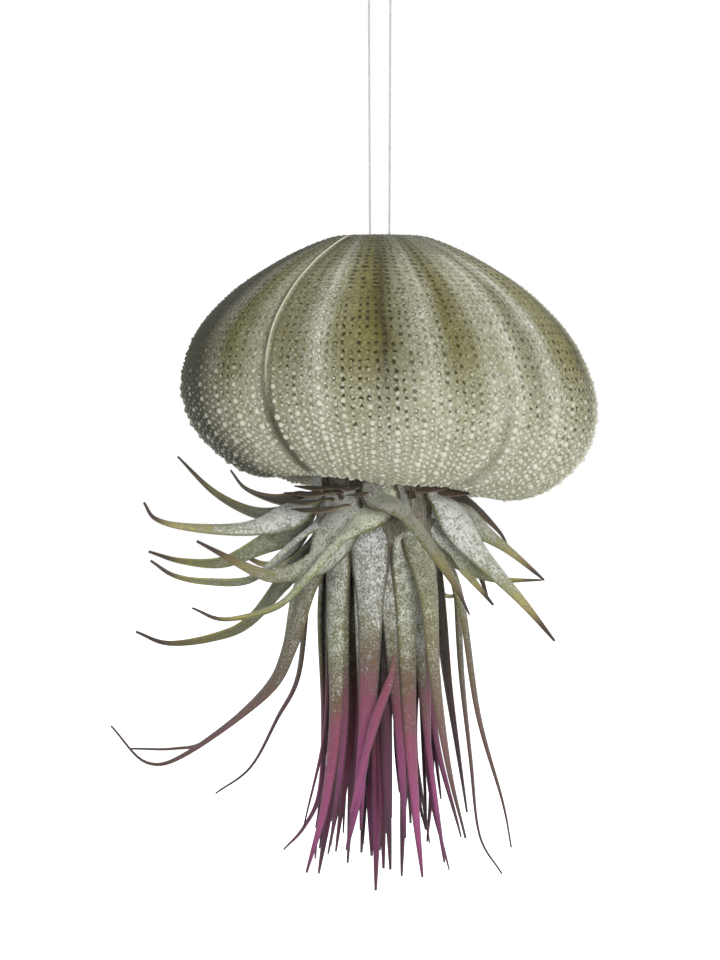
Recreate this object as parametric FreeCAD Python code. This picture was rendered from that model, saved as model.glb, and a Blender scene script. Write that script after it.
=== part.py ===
import FreeCAD, Part
import math
import os

# A hanging air plant holder. The cleaned test of a sea urchin hangs mouth down on a loop of clear
# line from a screw hook, and an air plant sits upside down in its mouth, so that the two look like
# a jellyfish. Lengths are millimetres, angles are degrees, +Z is up, and the front faces -Y.
# The origin is on the ceiling, on the axis of the hook's screw, and all hangs below it.

Vector = FreeCAD.Vector
UP = Vector(0, 0, 1)
PARTS_FOLDER = "parts"

# The screw hook is bent from one wire, in the YZ plane
wire_diameter = 3.8
screw_diameter = 3.4
screw_length = 12.0
screw_point_length = 3.0
screw_point_diameter = 0.6
neck_length = 8.0
shoulder_radius = 4.0
bowl_radius = 7.0
LIP_ANGLE = 24.0

# The collar stops the hook at the ceiling
collar_diameter = 14.0
collar_thickness = 2.4
collar_rounding = 1.0
collar_clearance = 0.05

# The line is a loop of monofilament that lies over the hook's wire
line_diameter = 0.4
line_seat_clearance = 0.1
line_hang = 52.0
line_spacing = 3.9
line_fold_radius = 0.6

# The knot closes the loop under the disc
knot_length = 2.2
knot_diameter = 1.6
knot_end_diameter = 1.1
knot_drop = 2.3

# The disc carries the test from inside, round its apical hole
disc_diameter = 14.0
disc_thickness = 1.5
disc_rounding = 0.4
disc_hole_diameter = 1.3
disc_seat_clearance = 0.2

# The urchin's test
shell_radius = 42.5
shell_height = 52.0
shell_wall = 1.3
apex_hole_radius = 4.5
apex_flat_radius = 9.3
mouth_radius = 13.0
mouth_rim = 1.5
mouth_rise = 3.6
shell_shift = 3.2
shell_sag = 3.1
LOBES = 5
POINTS_PER_LOBE = 8
FRONT_LOBE_ANGLE = 268.0
CREASE_SOFTNESS_SHARE = 0.32

# Rows of the upper half, from the apical flat to the widest ring: how far out between the two,
# how far down the height, and the depth of the creases as a share of the radius
UPPER_ROW_SHARES = (
    (0.000, 0.000, 0.000),
    (0.185, 0.045, 0.010),
    (0.400, 0.118, 0.018),
    (0.640, 0.222, 0.034),
    (0.850, 0.362, 0.042),
    (0.962, 0.500, 0.048),
    (1.000, 0.640, 0.058),
)
# Rows of the lower half, from under the widest ring in to the mouth: how far out between the
# mouth's rim and the widest ring, how far down the height, the depth of the creases, and how far
# the creases rise, as a share of the height
LOWER_ROW_SHARES = (
    (0.930, 0.785, 0.075, 0.006),
    (0.785, 0.890, 0.100, 0.028),
    (0.590, 0.968, 0.110, 0.055),
    (0.370, 0.994, 0.080, 0.048),
    (0.150, 0.968, 0.030, 0.016),
)

# The plant's stem fills the mouth, and its dry roots stand on it inside the test
stem_clearance = 0.4
stem_above = 9.0
stem_below = 16.5
stem_top_radius = 7.0
stem_taper = 1.0
root_diameter = 1.1
root_rise = 8.0
root_spread = 9.0
ROOT_ANGLES = (20.0, 95.0, 170.0, 235.0, 310.0)

# The leaves: the reach is from the mouth down to the lowest tip, and the fullness is how much
# wider than a straight taper a leaf stays towards its tip
plant_reach = 84.0
leaf_width = 5.0
leaf_thickness = 1.5
leaf_tip_width = 0.5
leaf_tip_thickness = 0.35
leaf_bow = 0.35
leaf_root_depth = 1.3
leaf_root_run = 2.0
LEAF_FULLNESS_SHARE = 0.25
outer_ring_radius = 10.0
middle_ring_radius = 5.4
heart_ring_radius = 1.9

# The leaf tables follow the photograph, in its pixels. A leaf of the stem's side has its width as
# a share of the leaf width, its root as an angle about the axis and a share of the stem's length
# below the mouth, and its points, root to tip, as an angle, pixels out and pixels down
SPREADING_LEAVES_PX_AND_SHARES = (
    (0.84, (168, 0.25), ((168, 38, 16), (168, 49, 17.5), (168, 62, 14.5), (168, 76, 6.5), (168, 91, -8))),
    (0.50, (146, 0.24), ((146, 40, 11), (146, 57, 10.5), (146, 72, 6), (146, 80, -2))),
    (0.84, (192, 0.30), ((191, 45, 19.5), (190, 62, 23.5), (190, 86, 22.5), (190, 99, 19), (190, 104, 12))),
    (0.90, (181, 0.46), ((183, 36, 22), (184, 52, 30.5), (184, 69, 38), (184, 87, 37.5), (184, 101, 33.5))),
    (0.84, (204, 0.60), ((203, 46, 35.5), (203, 61, 45.5), (203, 81, 46), (203, 96, 43.5), (203, 107, 37))),
    (0.88, (233, 0.55), ((229, 36, 34), (224, 42, 39.5), (218, 53, 43), (215, 64, 42), (209, 90, 28.5))),
    (1.20, (266, 0.42), ((244, 37, 28), (230, 50, 46), (224, 62, 57), (218, 84, 62), (216, 99, 57))),
    (0.86, (189, 0.76), ((191, 41, 43.5), (192, 58, 63.5), (192, 74, 70.5), (192, 94, 73), (192, 108, 68))),
    (1.20, (274, 0.22), ((284, 35, 15), (296, 45, 28), (304, 55, 45), (308, 62, 60))),
    (1.10, (334, 0.27), ((332, 34, 14), (332, 45, 30.5), (332, 69, 54), (332, 85, 71.5))),
    (0.80, (356, 0.36), ((355, 36, 18), (355, 56, 32.5), (355, 72, 46))),
    (0.84, (12, 0.66), ((12, 36, 36.5), (12, 52, 45.5), (12, 73, 46.5))),
    (0.44, (26, 0.22), ((25, 33, 8.5), (25, 44, 13), (25, 58, 25), (25, 63, 33))),
    (0.56, (338, 0.66), ((338, 36, 32), (338, 41, 42.5), (338, 53, 56.5))),
    (0.84, (52, 0.28), ((50, 40, 17), (46, 54, 30), (45, 62, 42), (45, 68, 54))),
    (0.90, (80, 0.24), ((80, 40, 15), (82, 60, 19), (84, 80, 15), (86, 95, 4))),
    (0.84, (110, 0.27), ((110, 40, 18), (108, 62, 24), (106, 84, 24), (105, 98, 17))),
    (0.80, (130, 0.50), ((130, 38, 27), (131, 56, 37), (132, 76, 40), (133, 92, 35))),
    (0.84, (95, 0.60), ((95, 38, 32), (94, 56, 45), (93, 74, 50), (92, 90, 47))),
    (0.80, (66, 0.58), ((66, 38, 32), (66, 54, 46), (65, 70, 54), (64, 84, 54))),
)
DROOPING_LEAVES_PX_AND_SHARES = (
    (
        0.90,
        (212, 0.92),
        ((208, 36, 50), (201, 42, 75), (200, 53, 95), (200, 88, 120), (200, 107, 124), (200, 123, 108)),
    ),
    (
        0.90,
        (174, 0.92),
        ((176, 36, 50), (178, 41, 76), (178, 50, 94), (178, 75, 116), (178, 90, 120), (178, 109, 120)),
    ),
    (0.84, (151, 0.92), ((154, 34, 52), (158, 38, 88), (158, 48, 107), (158, 61, 129), (158, 78, 141))),
    (0.90, (308, 0.92), ((309, 34, 52), (310, 37, 86), (310, 46, 126), (310, 57, 156))),
    (0.96, (6, 0.92), ((8, 33, 50), (8, 36, 90), (8, 40, 126), (8, 44, 158), (8, 54, 175))),
    (0.90, (342, 0.92), ((344, 36, 54), (345, 44, 104), (345, 55, 142), (345, 59, 162))),
    (0.90, (40, 0.92), ((42, 35, 54), (45, 43, 92), (46, 50, 122), (46, 56, 150))),
    (0.90, (76, 0.92), ((76, 35, 54), (76, 43, 92), (76, 52, 128), (76, 58, 156))),
    (0.90, (116, 0.92), ((116, 35, 54), (112, 44, 88), (108, 56, 118), (106, 68, 140))),
)
# The leaves of the rings hang from the stem's end, and their roots are spaced evenly
OUTER_RING_WIDTH_SHARE = 1.26
OUTER_RING_PX = (
    ((20, 24, 62), (20, 24, 105), (20, 24, 138), (20, 22, 161)),
    ((60, 24, 62), (60, 24, 105), (60, 22, 138), (60, 19, 162)),
    ((100, 24, 62), (100, 24, 105), (100, 23, 138), (100, 20, 168)),
    ((140, 24, 62), (140, 25, 105), (140, 29, 145), (140, 35, 176)),
    ((180, 25, 62), (180, 24, 105), (180, 26, 138), (180, 33, 154), (180, 42, 164)),
    ((220, 25, 62), (220, 25, 105), (220, 31, 142), (221, 42, 172)),
    ((260, 24, 62), (257, 25, 105), (250, 28, 138), (245, 34, 162)),
    ((300, 24, 62), (301, 25, 105), (303, 28, 142), (305, 32, 174)),
    ((338, 23, 62), (333, 23, 105), (334, 25, 140), (340, 32, 172)),
)
MIDDLE_RING_WIDTH_SHARE = 0.98
MIDDLE_RING_PX = (
    ((30, 13, 62), (30, 13, 105), (30, 12, 158)),
    ((90, 13, 62), (90, 13, 105), (90, 11, 165)),
    ((150, 13, 62), (150, 13, 105), (150, 16, 166)),
    ((210, 13, 62), (210, 14, 105), (210, 22, 164)),
    ((270, 13, 62), (268, 13, 105), (262, 13, 180.8)),
    ((330, 13, 62), (330, 13, 105), (330, 11, 175)),
)
HEART_RING_WIDTH_SHARE = 0.52
HEART_RING_PX = (
    ((0, 4, 80), (0, 5, 150)),
    ((120, 4, 80), (120, 5, 155)),
    ((240, 4, 80), (240, 6, 158)),
)

# One overrun serves every cut
overrun = 2.0

# Heights, worked out from the sizes above
bowl_drop = math.sqrt((bowl_radius + shoulder_radius) ** 2 - shoulder_radius**2)
bowl_height = -neck_length - bowl_drop
saddle_height = bowl_height - bowl_radius
crown_height = saddle_height - line_hang
seat_height = crown_height - shell_wall
disc_height = seat_height - disc_seat_clearance - disc_thickness / 2
knot_height = disc_height - knot_drop
mouth_height = crown_height - shell_height + mouth_rise
stem_end_height = mouth_height - stem_below
stem_radius = mouth_radius - stem_clearance


def lowest_tip_px():
    """How far down the lowest leaf tip of the tables is, in their pixels."""
    side_rows = SPREADING_LEAVES_PX_AND_SHARES + DROOPING_LEAVES_PX_AND_SHARES
    ring_rows = OUTER_RING_PX + MIDDLE_RING_PX + HEART_RING_PX
    tips = [places[-1] for _, _, places in side_rows] + [places[-1] for places in ring_rows]
    return max(drop for _, _, drop in tips)


leaf_scale = plant_reach / lowest_tip_px()


def around(angle, radius, height):
    """A point at an angle about the holder's axis."""
    turn = math.radians(angle)
    return Vector(radius * math.cos(turn), radius * math.sin(turn), height)


def tube(path, radius):
    """A round tube along a path of runs and arcs."""
    start = path.Edges[0]
    first = start.FirstParameter
    ring = Part.Circle(start.valueAt(first), start.tangentAt(first), radius)
    return path.makePipeShell([Part.Wire(ring.toShape())], True, False)


def spun(points, axis_point, axis):
    """A solid of revolution from a closed outline."""
    face = Part.Face(Part.makePolygon(points + [points[0]]))
    return face.revolve(axis_point, axis, 360)


def hook_arc(centre, radius, start, end):
    """An arc in the hook's plane, by angles from the back of the hook."""
    places = []
    for angle in (start, (start + end) / 2, end):
        turn = math.radians(angle)
        places.append(centre + Vector(0, radius * math.cos(turn), radius * math.sin(turn)))
    return Part.Arc(*places).toShape(), places[-1]


def make_screw_hook():
    """The hook's screw, neck, shoulder and bowl, with a rounded lip."""
    wire_radius = wire_diameter / 2
    neck_end = Vector(0, 0, -neck_length)
    shoulder_centre = neck_end + Vector(0, shoulder_radius, 0)
    bowl_centre = Vector(0, 0, bowl_height)
    touch_angle = math.degrees(math.atan2(bowl_drop, shoulder_radius))
    neck = Part.LineSegment(Vector(0, 0, 0), neck_end).toShape()
    shoulder, _ = hook_arc(shoulder_centre, shoulder_radius, 180, 180 + touch_angle)
    bowl, lip = hook_arc(bowl_centre, bowl_radius, touch_angle, -180 - LIP_ANGLE)
    bent = tube(Part.Wire([neck, shoulder, bowl]), wire_radius)
    ball = Part.makeSphere(wire_radius, lip)
    screw = Part.makeCylinder(screw_diameter / 2, screw_length)
    point_place = Vector(0, 0, screw_length)
    point = Part.makeCone(
        screw_diameter / 2, screw_point_diameter / 2, screw_point_length, point_place
    )
    return bent.fuse([ball, screw, point]).removeSplitter()


def make_ceiling_collar():
    """The round collar between the ceiling and the hook's neck."""
    low = Vector(0, 0, -collar_thickness)
    disc = Part.makeCylinder(collar_diameter / 2, collar_thickness, low)
    lower_edge = [e for e in disc.Edges if e.Closed and e.CenterOfMass.z < -collar_thickness / 2]
    disc = disc.makeFillet(collar_rounding, lower_edge)
    bore_radius = wire_diameter / 2 + collar_clearance
    bore_length = collar_thickness + overrun * 2
    bore = Part.makeCylinder(bore_radius, bore_length, low - UP * overrun)
    return disc.cut(bore)


def tangent_path(route, radii):
    """Straight runs joined by tangent arcs, one arc at each inner point of the route."""
    edges = []
    start = route[0]
    for before, corner, after, radius in zip(route, route[1:], route[2:], radii):
        back = (before - corner).normalize()
        on = (after - corner).normalize()
        turn = math.pi - back.getAngle(on)
        reach = radius * math.tan(turn / 2)
        arc_start = corner + back * reach
        arc_end = corner + on * reach
        middle = (back + on).normalize()
        bulge = radius / math.cos(turn / 2) - radius
        edges.append(Part.LineSegment(start, arc_start).toShape())
        edges.append(Part.Arc(arc_start, corner + middle * bulge, arc_end).toShape())
        start = arc_end
        print("line arc radius", round(radius, 2), "turn", round(math.degrees(turn), 1))
    edges.append(Part.LineSegment(start, route[-1]).toShape())
    return Part.Wire(edges)


def make_hanging_line():
    """The loop of line: from the knot, up through the disc, over the hook and back."""
    seat = wire_diameter / 2 + line_seat_clearance + line_diameter / 2
    knot_side = knot_length / 2
    hole_side = line_spacing / 2
    route = [
        Vector(-knot_side, 0, knot_height),
        Vector(-hole_side, 0, knot_height),
        Vector(-seat, 0, saddle_height + seat),
        Vector(seat, 0, saddle_height + seat),
        Vector(hole_side, 0, knot_height),
        Vector(knot_side, 0, knot_height),
    ]
    path = tangent_path(route, (line_fold_radius, seat, seat, line_fold_radius))
    line = tube(path, line_diameter / 2)
    expected = math.pi * line_diameter**2 / 4 * path.Length
    print("line length", round(path.Length, 1), "volume share", round(line.Volume / expected, 4))
    return line


def make_line_knot():
    """The barrel of the knot that closes the loop."""
    side = knot_length / 2
    waist = knot_end_diameter / 2
    crest = knot_diameter / 2
    bulge = Part.Arc(Vector(-side, 0, waist), Vector(0, 0, crest), Vector(side, 0, waist))
    outline = [
        bulge.toShape(),
        Part.makeLine(Vector(side, 0, waist), Vector(side, 0, 0)),
        Part.makeLine(Vector(side, 0, 0), Vector(-side, 0, 0)),
        Part.makeLine(Vector(-side, 0, 0), Vector(-side, 0, waist)),
    ]
    knot = Part.Face(Part.Wire(outline)).revolve(Vector(0, 0, 0), Vector(1, 0, 0), 360)
    knot.translate(Vector(0, 0, knot_height))
    return knot


def make_stopper_disc():
    """The two-hole disc that the line hangs the test on."""
    low = Vector(0, 0, disc_height - disc_thickness / 2)
    disc = Part.makeCylinder(disc_diameter / 2, disc_thickness, low)
    rims = [e for e in disc.Edges if e.Closed]
    disc = disc.makeFillet(disc_rounding, rims)
    for side in (-line_spacing / 2, line_spacing / 2):
        place = low + Vector(side, 0, -overrun)
        disc = disc.cut(
            Part.makeCylinder(disc_hole_diameter / 2, disc_thickness + overrun * 2, place)
        )
    return disc


def shell_rows():
    """The rows of the test's outside: radius, drop, crease depth, crease rise, shift and lean."""
    rows = []
    for out, down, crease in UPPER_ROW_SHARES:
        radius = apex_flat_radius + out * (shell_radius - apex_flat_radius)
        rows.append((radius, down * shell_height, crease, 0, down, down))
    rim = mouth_radius + mouth_rim
    for out, down, crease, rise in LOWER_ROW_SHARES:
        radius = rim + out * (shell_radius - rim)
        rows.append((radius, down * shell_height, crease, rise * shell_height, down * out, down))
    rows.append((rim, shell_height - mouth_rise, 0, 0, 0, 0))
    return rows


def inner_rows(rows):
    """The same rows, moved in by the wall along the profile's normal."""
    moved = []
    last = len(rows) - 1
    for i, (radius, drop, crease, rise, shift, lean) in enumerate(rows):
        before, after = rows[max(i - 1, 0)], rows[min(i + 1, last)]
        run, fall = after[0] - before[0], after[1] - before[1]
        if i in (0, last):
            run, fall = 1, 0
        length = math.hypot(run, fall)
        inward = -1 if i == last else 1
        new_radius = radius - inward * shell_wall * fall / length
        new_drop = drop + inward * shell_wall * run / length
        moved.append((new_radius, new_drop, crease, rise, shift, lean))
    return moved


def shell_ring(row):
    """One closed ring of the test, with its lobes, shift and sag."""
    radius, drop, crease, rise, shift, lean = row
    count = LOBES * POINTS_PER_LOBE
    places = []
    for i in range(count):
        angle = 360 * i / count
        turn = math.radians(angle - FRONT_LOBE_ANGLE) * LOBES / 2
        soft = CREASE_SOFTNESS_SHARE
        fullness = math.hypot(math.cos(turn), soft) / math.hypot(1, soft)
        depth = 1 - fullness
        place = around(angle, radius * (1 - crease * depth), crown_height - drop)
        tilt = shell_sag * lean * place.x / shell_radius
        place += Vector(shell_shift * shift, 0, rise * depth - tilt)
        places.append(place)
    curve = Part.BSplineCurve()
    steps = [i / count for i in range(count + 1)]
    curve.interpolate(Points=places, PeriodicFlag=True, Parameters=steps)
    return Part.Wire(curve.toShape())


def make_urchin_shell():
    """The thin lobed test, open at its apex and at its mouth."""
    rows = shell_rows()
    outside = Part.makeLoft([shell_ring(row) for row in rows], True, False)
    inside = Part.makeLoft([shell_ring(row) for row in inner_rows(rows)], True, False)
    cut_length = shell_wall + overrun * 2
    apex_low = Vector(0, 0, seat_height - overrun)
    apex_hole = Part.makeCylinder(apex_hole_radius, cut_length, apex_low)
    mouth_low = Vector(0, 0, mouth_height - overrun)
    mouth_hole = Part.makeCylinder(mouth_radius, cut_length, mouth_low)
    return outside.cut(inside).cut(apex_hole).cut(mouth_hole)


def stem_side_radius(down):
    """The stem's radius at a share of its length below the mouth."""
    return stem_radius - stem_taper * down


def make_plant_stem():
    """The stem that the leaves grow from, with a rounded shoulder inside the test."""
    top = mouth_height + stem_above
    shoulder = stem_above / 2
    outline = [
        Vector(0, 0, top),
        Vector(stem_top_radius, 0, top),
        Vector((stem_top_radius + stem_radius) / 2, 0, top - shoulder / 2),
        Vector(stem_radius, 0, top - shoulder * 2),
        Vector(stem_side_radius(1), 0, stem_end_height),
        Vector(0, 0, stem_end_height),
    ]
    return spun(outline, Vector(0, 0, 0), UP)


def make_dry_roots():
    """A few bent wiry roots that stand on the stem."""
    foot_height = mouth_height + stem_above
    roots = []
    for angle in ROOT_ANGLES:
        foot = around(angle, stem_top_radius / 2, foot_height)
        knee = around(angle, stem_top_radius / 2, foot_height + root_rise / 2)
        end = around(angle, root_spread, foot_height + root_rise)
        path = Part.Wire(
            [
                Part.LineSegment(foot, knee).toShape(),
                Part.Arc(knee, knee + (end - knee) / 2 + UP * root_diameter, end).toShape(),
            ]
        )
        roots.append(path)
    return Part.makeCompound([tube(path, root_diameter / 2) for path in roots])


def leaf_section(centre, along, across, width, thickness):
    """A crescent across the leaf, hollow on the face that looks at the plant's heart."""
    normal = along.cross(across).normalize()
    half = across * (width / 2)
    edge = centre + normal * (thickness / 2)
    bow = normal * (leaf_bow * width / leaf_width)
    left, right = edge - half, edge + half
    hollow = Part.Arc(left, edge - bow, right)
    back = Part.Arc(right, edge - bow - normal * thickness, left)
    return Part.Wire([hollow.toShape(), back.toShape()])


def leaf_solid(route, width_share):
    """A leaf lofted through crescents that narrow from its root to its tip."""
    lengths = [0]
    for start, end in zip(route, route[1:]):
        lengths.append(lengths[-1] + (end - start).Length)
    outward = Vector(route[1].x, route[1].y, 0)
    across = outward.cross(UP).normalize()
    sections = []
    for i, place in enumerate(route):
        before, after = route[max(i - 1, 0)], route[min(i + 1, len(route) - 1)]
        along = (after - before).normalize()
        across = (across - along * across.dot(along)).normalize()
        left = (1 - lengths[i] / lengths[-1]) ** (1 - LEAF_FULLNESS_SHARE)
        width = leaf_tip_width + (leaf_width * width_share - leaf_tip_width) * left
        thickness = leaf_tip_thickness + (leaf_thickness - leaf_tip_thickness) * left
        sections.append(leaf_section(place, along, across, width, thickness))
    return Part.makeLoft(sections, True, False)


def side_leaf(row, stem):
    """A leaf that grows from the stem's side, trimmed to the stem."""
    width_share, (root_angle, down), places = row
    root_out = stem_side_radius(down) - leaf_root_depth
    route = [around(root_angle, root_out, mouth_height - down * stem_below)]
    for angle, out, drop in places:
        route.append(around(angle, out * leaf_scale, mouth_height - drop * leaf_scale))
    return leaf_solid(route, width_share).cut(stem)


def ring_leaf(root_angle, radius, width_share, places):
    """A leaf that hangs from the stem's end."""
    route = [around(root_angle, radius, stem_end_height)]
    route.append(route[0] - UP * leaf_root_run)
    for angle, out, drop in places:
        route.append(around(angle, out * leaf_scale, mouth_height - drop * leaf_scale))
    return leaf_solid(route, width_share)


def make_side_leaves(kind, rows, stem):
    """All the leaves of one kind on the stem's side, by name."""
    return {f"{kind}_{i:02d}": side_leaf(row, stem) for i, row in enumerate(rows, 1)}


def make_ring_leaves(kind, radius, width_share, rows):
    """All the leaves of one ring on the stem's end, by name."""
    leaves = {}
    for i, places in enumerate(rows, 1):
        leaves[f"{kind}_{i:02d}"] = ring_leaf(places[0][0], radius, width_share, places)
    return leaves


def make_parts():
    """Every piece of the holder, by name."""
    stem = make_plant_stem()
    pieces = {
        "screw_hook": make_screw_hook(),
        "ceiling_collar": make_ceiling_collar(),
        "hanging_line": make_hanging_line(),
        "line_knot": make_line_knot(),
        "stopper_disc": make_stopper_disc(),
        "urchin_shell": make_urchin_shell(),
        "plant_stem": stem,
        "dry_roots": make_dry_roots(),
    }
    pieces.update(make_side_leaves("spreading_leaf", SPREADING_LEAVES_PX_AND_SHARES, stem))
    pieces.update(make_side_leaves("drooping_leaf", DROOPING_LEAVES_PX_AND_SHARES, stem))
    rings = (
        ("outer_ring_leaf", outer_ring_radius, OUTER_RING_WIDTH_SHARE, OUTER_RING_PX),
        ("middle_ring_leaf", middle_ring_radius, MIDDLE_RING_WIDTH_SHARE, MIDDLE_RING_PX),
        ("heart_ring_leaf", heart_ring_radius, HEART_RING_WIDTH_SHARE, HEART_RING_PX),
    )
    for kind, radius, width_share, rows in rings:
        pieces.update(make_ring_leaves(kind, radius, width_share, rows))
    return pieces


def write_parts():
    """Write one file for each piece."""
    os.makedirs(PARTS_FOLDER, exist_ok=True)
    for name, shape in make_parts().items():
        shape.exportStep(os.path.join(PARTS_FOLDER, name + ".step"))
        print(name, "volume", round(shape.Volume, 1), "solids", len(shape.Solids), shape.isValid())


write_parts()
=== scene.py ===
import math
import random

import bpy
import numpy as np
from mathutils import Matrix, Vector


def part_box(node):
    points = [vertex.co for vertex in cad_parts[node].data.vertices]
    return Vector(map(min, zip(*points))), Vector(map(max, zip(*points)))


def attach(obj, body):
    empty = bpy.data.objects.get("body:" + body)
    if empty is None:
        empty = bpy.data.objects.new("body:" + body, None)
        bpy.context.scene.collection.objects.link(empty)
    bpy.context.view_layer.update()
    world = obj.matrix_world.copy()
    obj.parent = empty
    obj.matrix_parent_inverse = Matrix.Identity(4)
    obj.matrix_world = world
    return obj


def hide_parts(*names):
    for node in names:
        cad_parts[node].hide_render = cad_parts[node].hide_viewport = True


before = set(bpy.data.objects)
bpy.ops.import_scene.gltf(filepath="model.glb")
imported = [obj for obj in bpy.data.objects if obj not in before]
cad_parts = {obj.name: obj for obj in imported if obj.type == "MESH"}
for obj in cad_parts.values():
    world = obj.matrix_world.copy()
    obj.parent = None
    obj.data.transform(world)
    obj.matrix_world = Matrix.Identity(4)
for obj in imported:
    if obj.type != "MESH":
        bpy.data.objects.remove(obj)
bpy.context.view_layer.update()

# The studio: a white sheet far below the plant, soft lamps in front of it and behind it, and a level
# camera. The view starts just under the hook, so that both strands of line run out of its top edge.
mm = 0.001
view_top = -29.2 * mm
view_height = 195 * mm
view_side = -4 * mm
camera_distance = 1.1
camera_sensor = 24
floor_height = -252 * mm
floor_reach = 6
floor_fade_start = 0.2
floor_fade_end = 0.9
floor_glow_near = 0.42
ambient_strength = 0.56


def node(tree, kind, inputs=None, **settings):
    """Add a shader node, set its settings, and set or link its inputs."""
    made = tree.nodes.new("ShaderNode" + kind)
    for name, value in settings.items():
        setattr(made, name, value)
    for key, value in (inputs or {}).items():
        if isinstance(value, bpy.types.NodeSocket):
            tree.links.new(value, made.inputs[key])
        else:
            made.inputs[key].default_value = value
    return made


def math_node(tree, operation, first, second=0.0, third=0.0):
    """The output of one Math node."""
    made = node(tree, "Math", {0: first, 1: second, 2: third}, operation=operation)
    return made.outputs[0]


def seen_directly(tree):
    """1 where a camera, glossy or transmitted ray looks, and 0 for light that lands on things."""
    rays = node(tree, "LightPath").outputs
    either = math_node(tree, "MAXIMUM", rays["Is Camera Ray"], rays["Is Glossy Ray"])
    return math_node(tree, "MAXIMUM", either, rays["Is Transmission Ray"])


def tint(code):
    """A colour from its six-digit code, as the linear values that a shader takes."""
    linear = []
    for start in (0, 2, 4):
        value = int(code[start : start + 2], 16) / 255
        linear.append(value / 12.92 if value <= 0.04045 else ((value + 0.055) / 1.055) ** 2.4)
    return (*linear, 1)


def link_mesh(name, points, faces):
    """A smoothly shaded mesh object from points in metres."""
    mesh = bpy.data.meshes.new(name)
    mesh.from_pydata([tuple(p) for p in points], [], faces)
    mesh.update()
    mesh.shade_smooth()
    made = bpy.data.objects.new(name, mesh)
    bpy.context.scene.collection.objects.link(made)
    return made


world = bpy.data.worlds.new("studio_air")
bpy.context.scene.world = world
world.use_nodes = True
sky = world.node_tree
ambient = math_node(sky, "MAXIMUM", seen_directly(sky), ambient_strength)
sky.links.new(ambient, sky.nodes["Background"].inputs["Strength"])
sky.nodes["Background"].inputs["Color"].default_value = (1, 1, 1, 1)

corner_signs = ((-1, -1), (1, -1), (1, 1), (-1, 1))
corners = [(x * floor_reach, y * floor_reach, floor_height) for x, y in corner_signs]
floor = link_mesh("floor", corners, [(0, 1, 2, 3)])
paper = bpy.data.materials.new("white_paper")
paper.use_nodes = True
sheet = paper.node_tree
matte = node(sheet, "BsdfDiffuse", {"Color": (0.8, 0.8, 0.8, 1)})
floor_place = node(sheet, "NewGeometry").outputs["Position"]
floor_place = node(sheet, "VectorMath", {0: floor_place, 1: (1, 1, 0)}, operation="MULTIPLY").outputs[0]
from_middle = node(sheet, "VectorMath", {0: floor_place}, operation="LENGTH").outputs["Value"]
fade = {"From Min": floor_fade_start, "From Max": floor_fade_end, "To Min": floor_glow_near, "To Max": 1.0}
rise = node(sheet, "MapRange", {"Value": from_middle, **fade})
lift = math_node(sheet, "MULTIPLY", seen_directly(sheet), rise.outputs["Result"])
glow = node(sheet, "Emission", {"Color": (1, 1, 1, 1), "Strength": lift})
lit = node(sheet, "AddShader", {0: matte.outputs[0], 1: glow.outputs[0]})
below = node(sheet, "NewGeometry").outputs["Backfacing"]
clear = node(sheet, "BsdfTransparent")
both = node(sheet, "MixShader", {0: below, 1: lit.outputs[0], 2: clear.outputs[0]})
sheet.links.new(both.outputs[0], sheet.nodes["Material Output"].inputs["Surface"])
floor.data.materials.append(paper)

# Lamps: name, place, size in metres and watts
LAMPS = (
    ("key_lamp", (0.45, -1.00, 0.00), 0.70, 6.3),
    ("fill_lamp", (0.05, -0.95, -0.50), 0.60, 4.1),
    ("back_lamp", (0.25, 0.80, 0.35), 0.50, 3.0),
)
plant_middle = Vector((0, 0, -130 * mm))
for name, place, size, watts in LAMPS:
    light = bpy.data.lights.new(name, "AREA")
    light.size = size
    light.energy = watts
    lamp = bpy.data.objects.new(name, light)
    lamp.location = place
    lamp.rotation_euler = (plant_middle - Vector(place)).to_track_quat("-Z", "Y").to_euler()
    bpy.context.scene.collection.objects.link(lamp)

lens = bpy.data.cameras.new("camera")
lens.sensor_fit = "VERTICAL"
lens.sensor_height = camera_sensor
lens.lens = camera_sensor * camera_distance / view_height
lens.clip_start = 0.01
camera = bpy.data.objects.new("camera", lens)
camera.location = (view_side, -camera_distance, view_top - view_height / 2)
camera.rotation_euler = (math.pi / 2, 0, 0)
bpy.context.scene.collection.objects.link(camera)
bpy.context.scene.camera = camera
bpy.context.scene.view_settings.view_transform = "Standard"

# The hanging line: one loop of clear nylon monofilament. It runs from the knot up through the disc
# and the top of the test, over the wire of the hook, and back down beside itself.
line_radius = 0.2 * mm
hook_wire_radius = 1.9 * mm
knot_low, knot_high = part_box("line_knot")
hook_low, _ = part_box("screw_hook")
knot_height = (knot_low.z + knot_high.z) / 2
knot_side = (knot_high.x - knot_low.x) / 2
hole_side = 1.95 * mm
hole_run = 0.85 * mm
hook_run = 2.4 * mm
line_gap = 0.1 * mm
line_seat = hook_wire_radius + line_gap + line_radius
saddle_height = hook_low.z + hook_wire_radius
fold_height = saddle_height + line_seat
half_route = [
    (knot_side, knot_height),
    (hole_side, knot_height),
    (hole_side, knot_height + hole_run),
    (line_seat, fold_height - hook_run),
    (line_seat, fold_height),
]
route = [(-x, z) for x, z in half_route] + [(x, z) for x, z in reversed(half_route)]


def line_curve(name, route):
    """A round bevelled curve of the line's thickness through control points in the XZ plane."""
    curve = bpy.data.curves.new(name, "CURVE")
    curve.dimensions = "3D"
    curve.bevel_depth = line_radius
    curve.bevel_resolution = 3
    curve.resolution_u = 8
    spline = curve.splines.new("NURBS")
    spline.points.add(len(route) - 1)
    for point, place in zip(spline.points, route):
        point.co = (*place, 1)
    spline.order_u = 3
    spline.use_endpoint_u = True
    curve.use_fill_caps = True
    made = bpy.data.objects.new(name, curve)
    bpy.context.scene.collection.objects.link(made)
    return made


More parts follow.
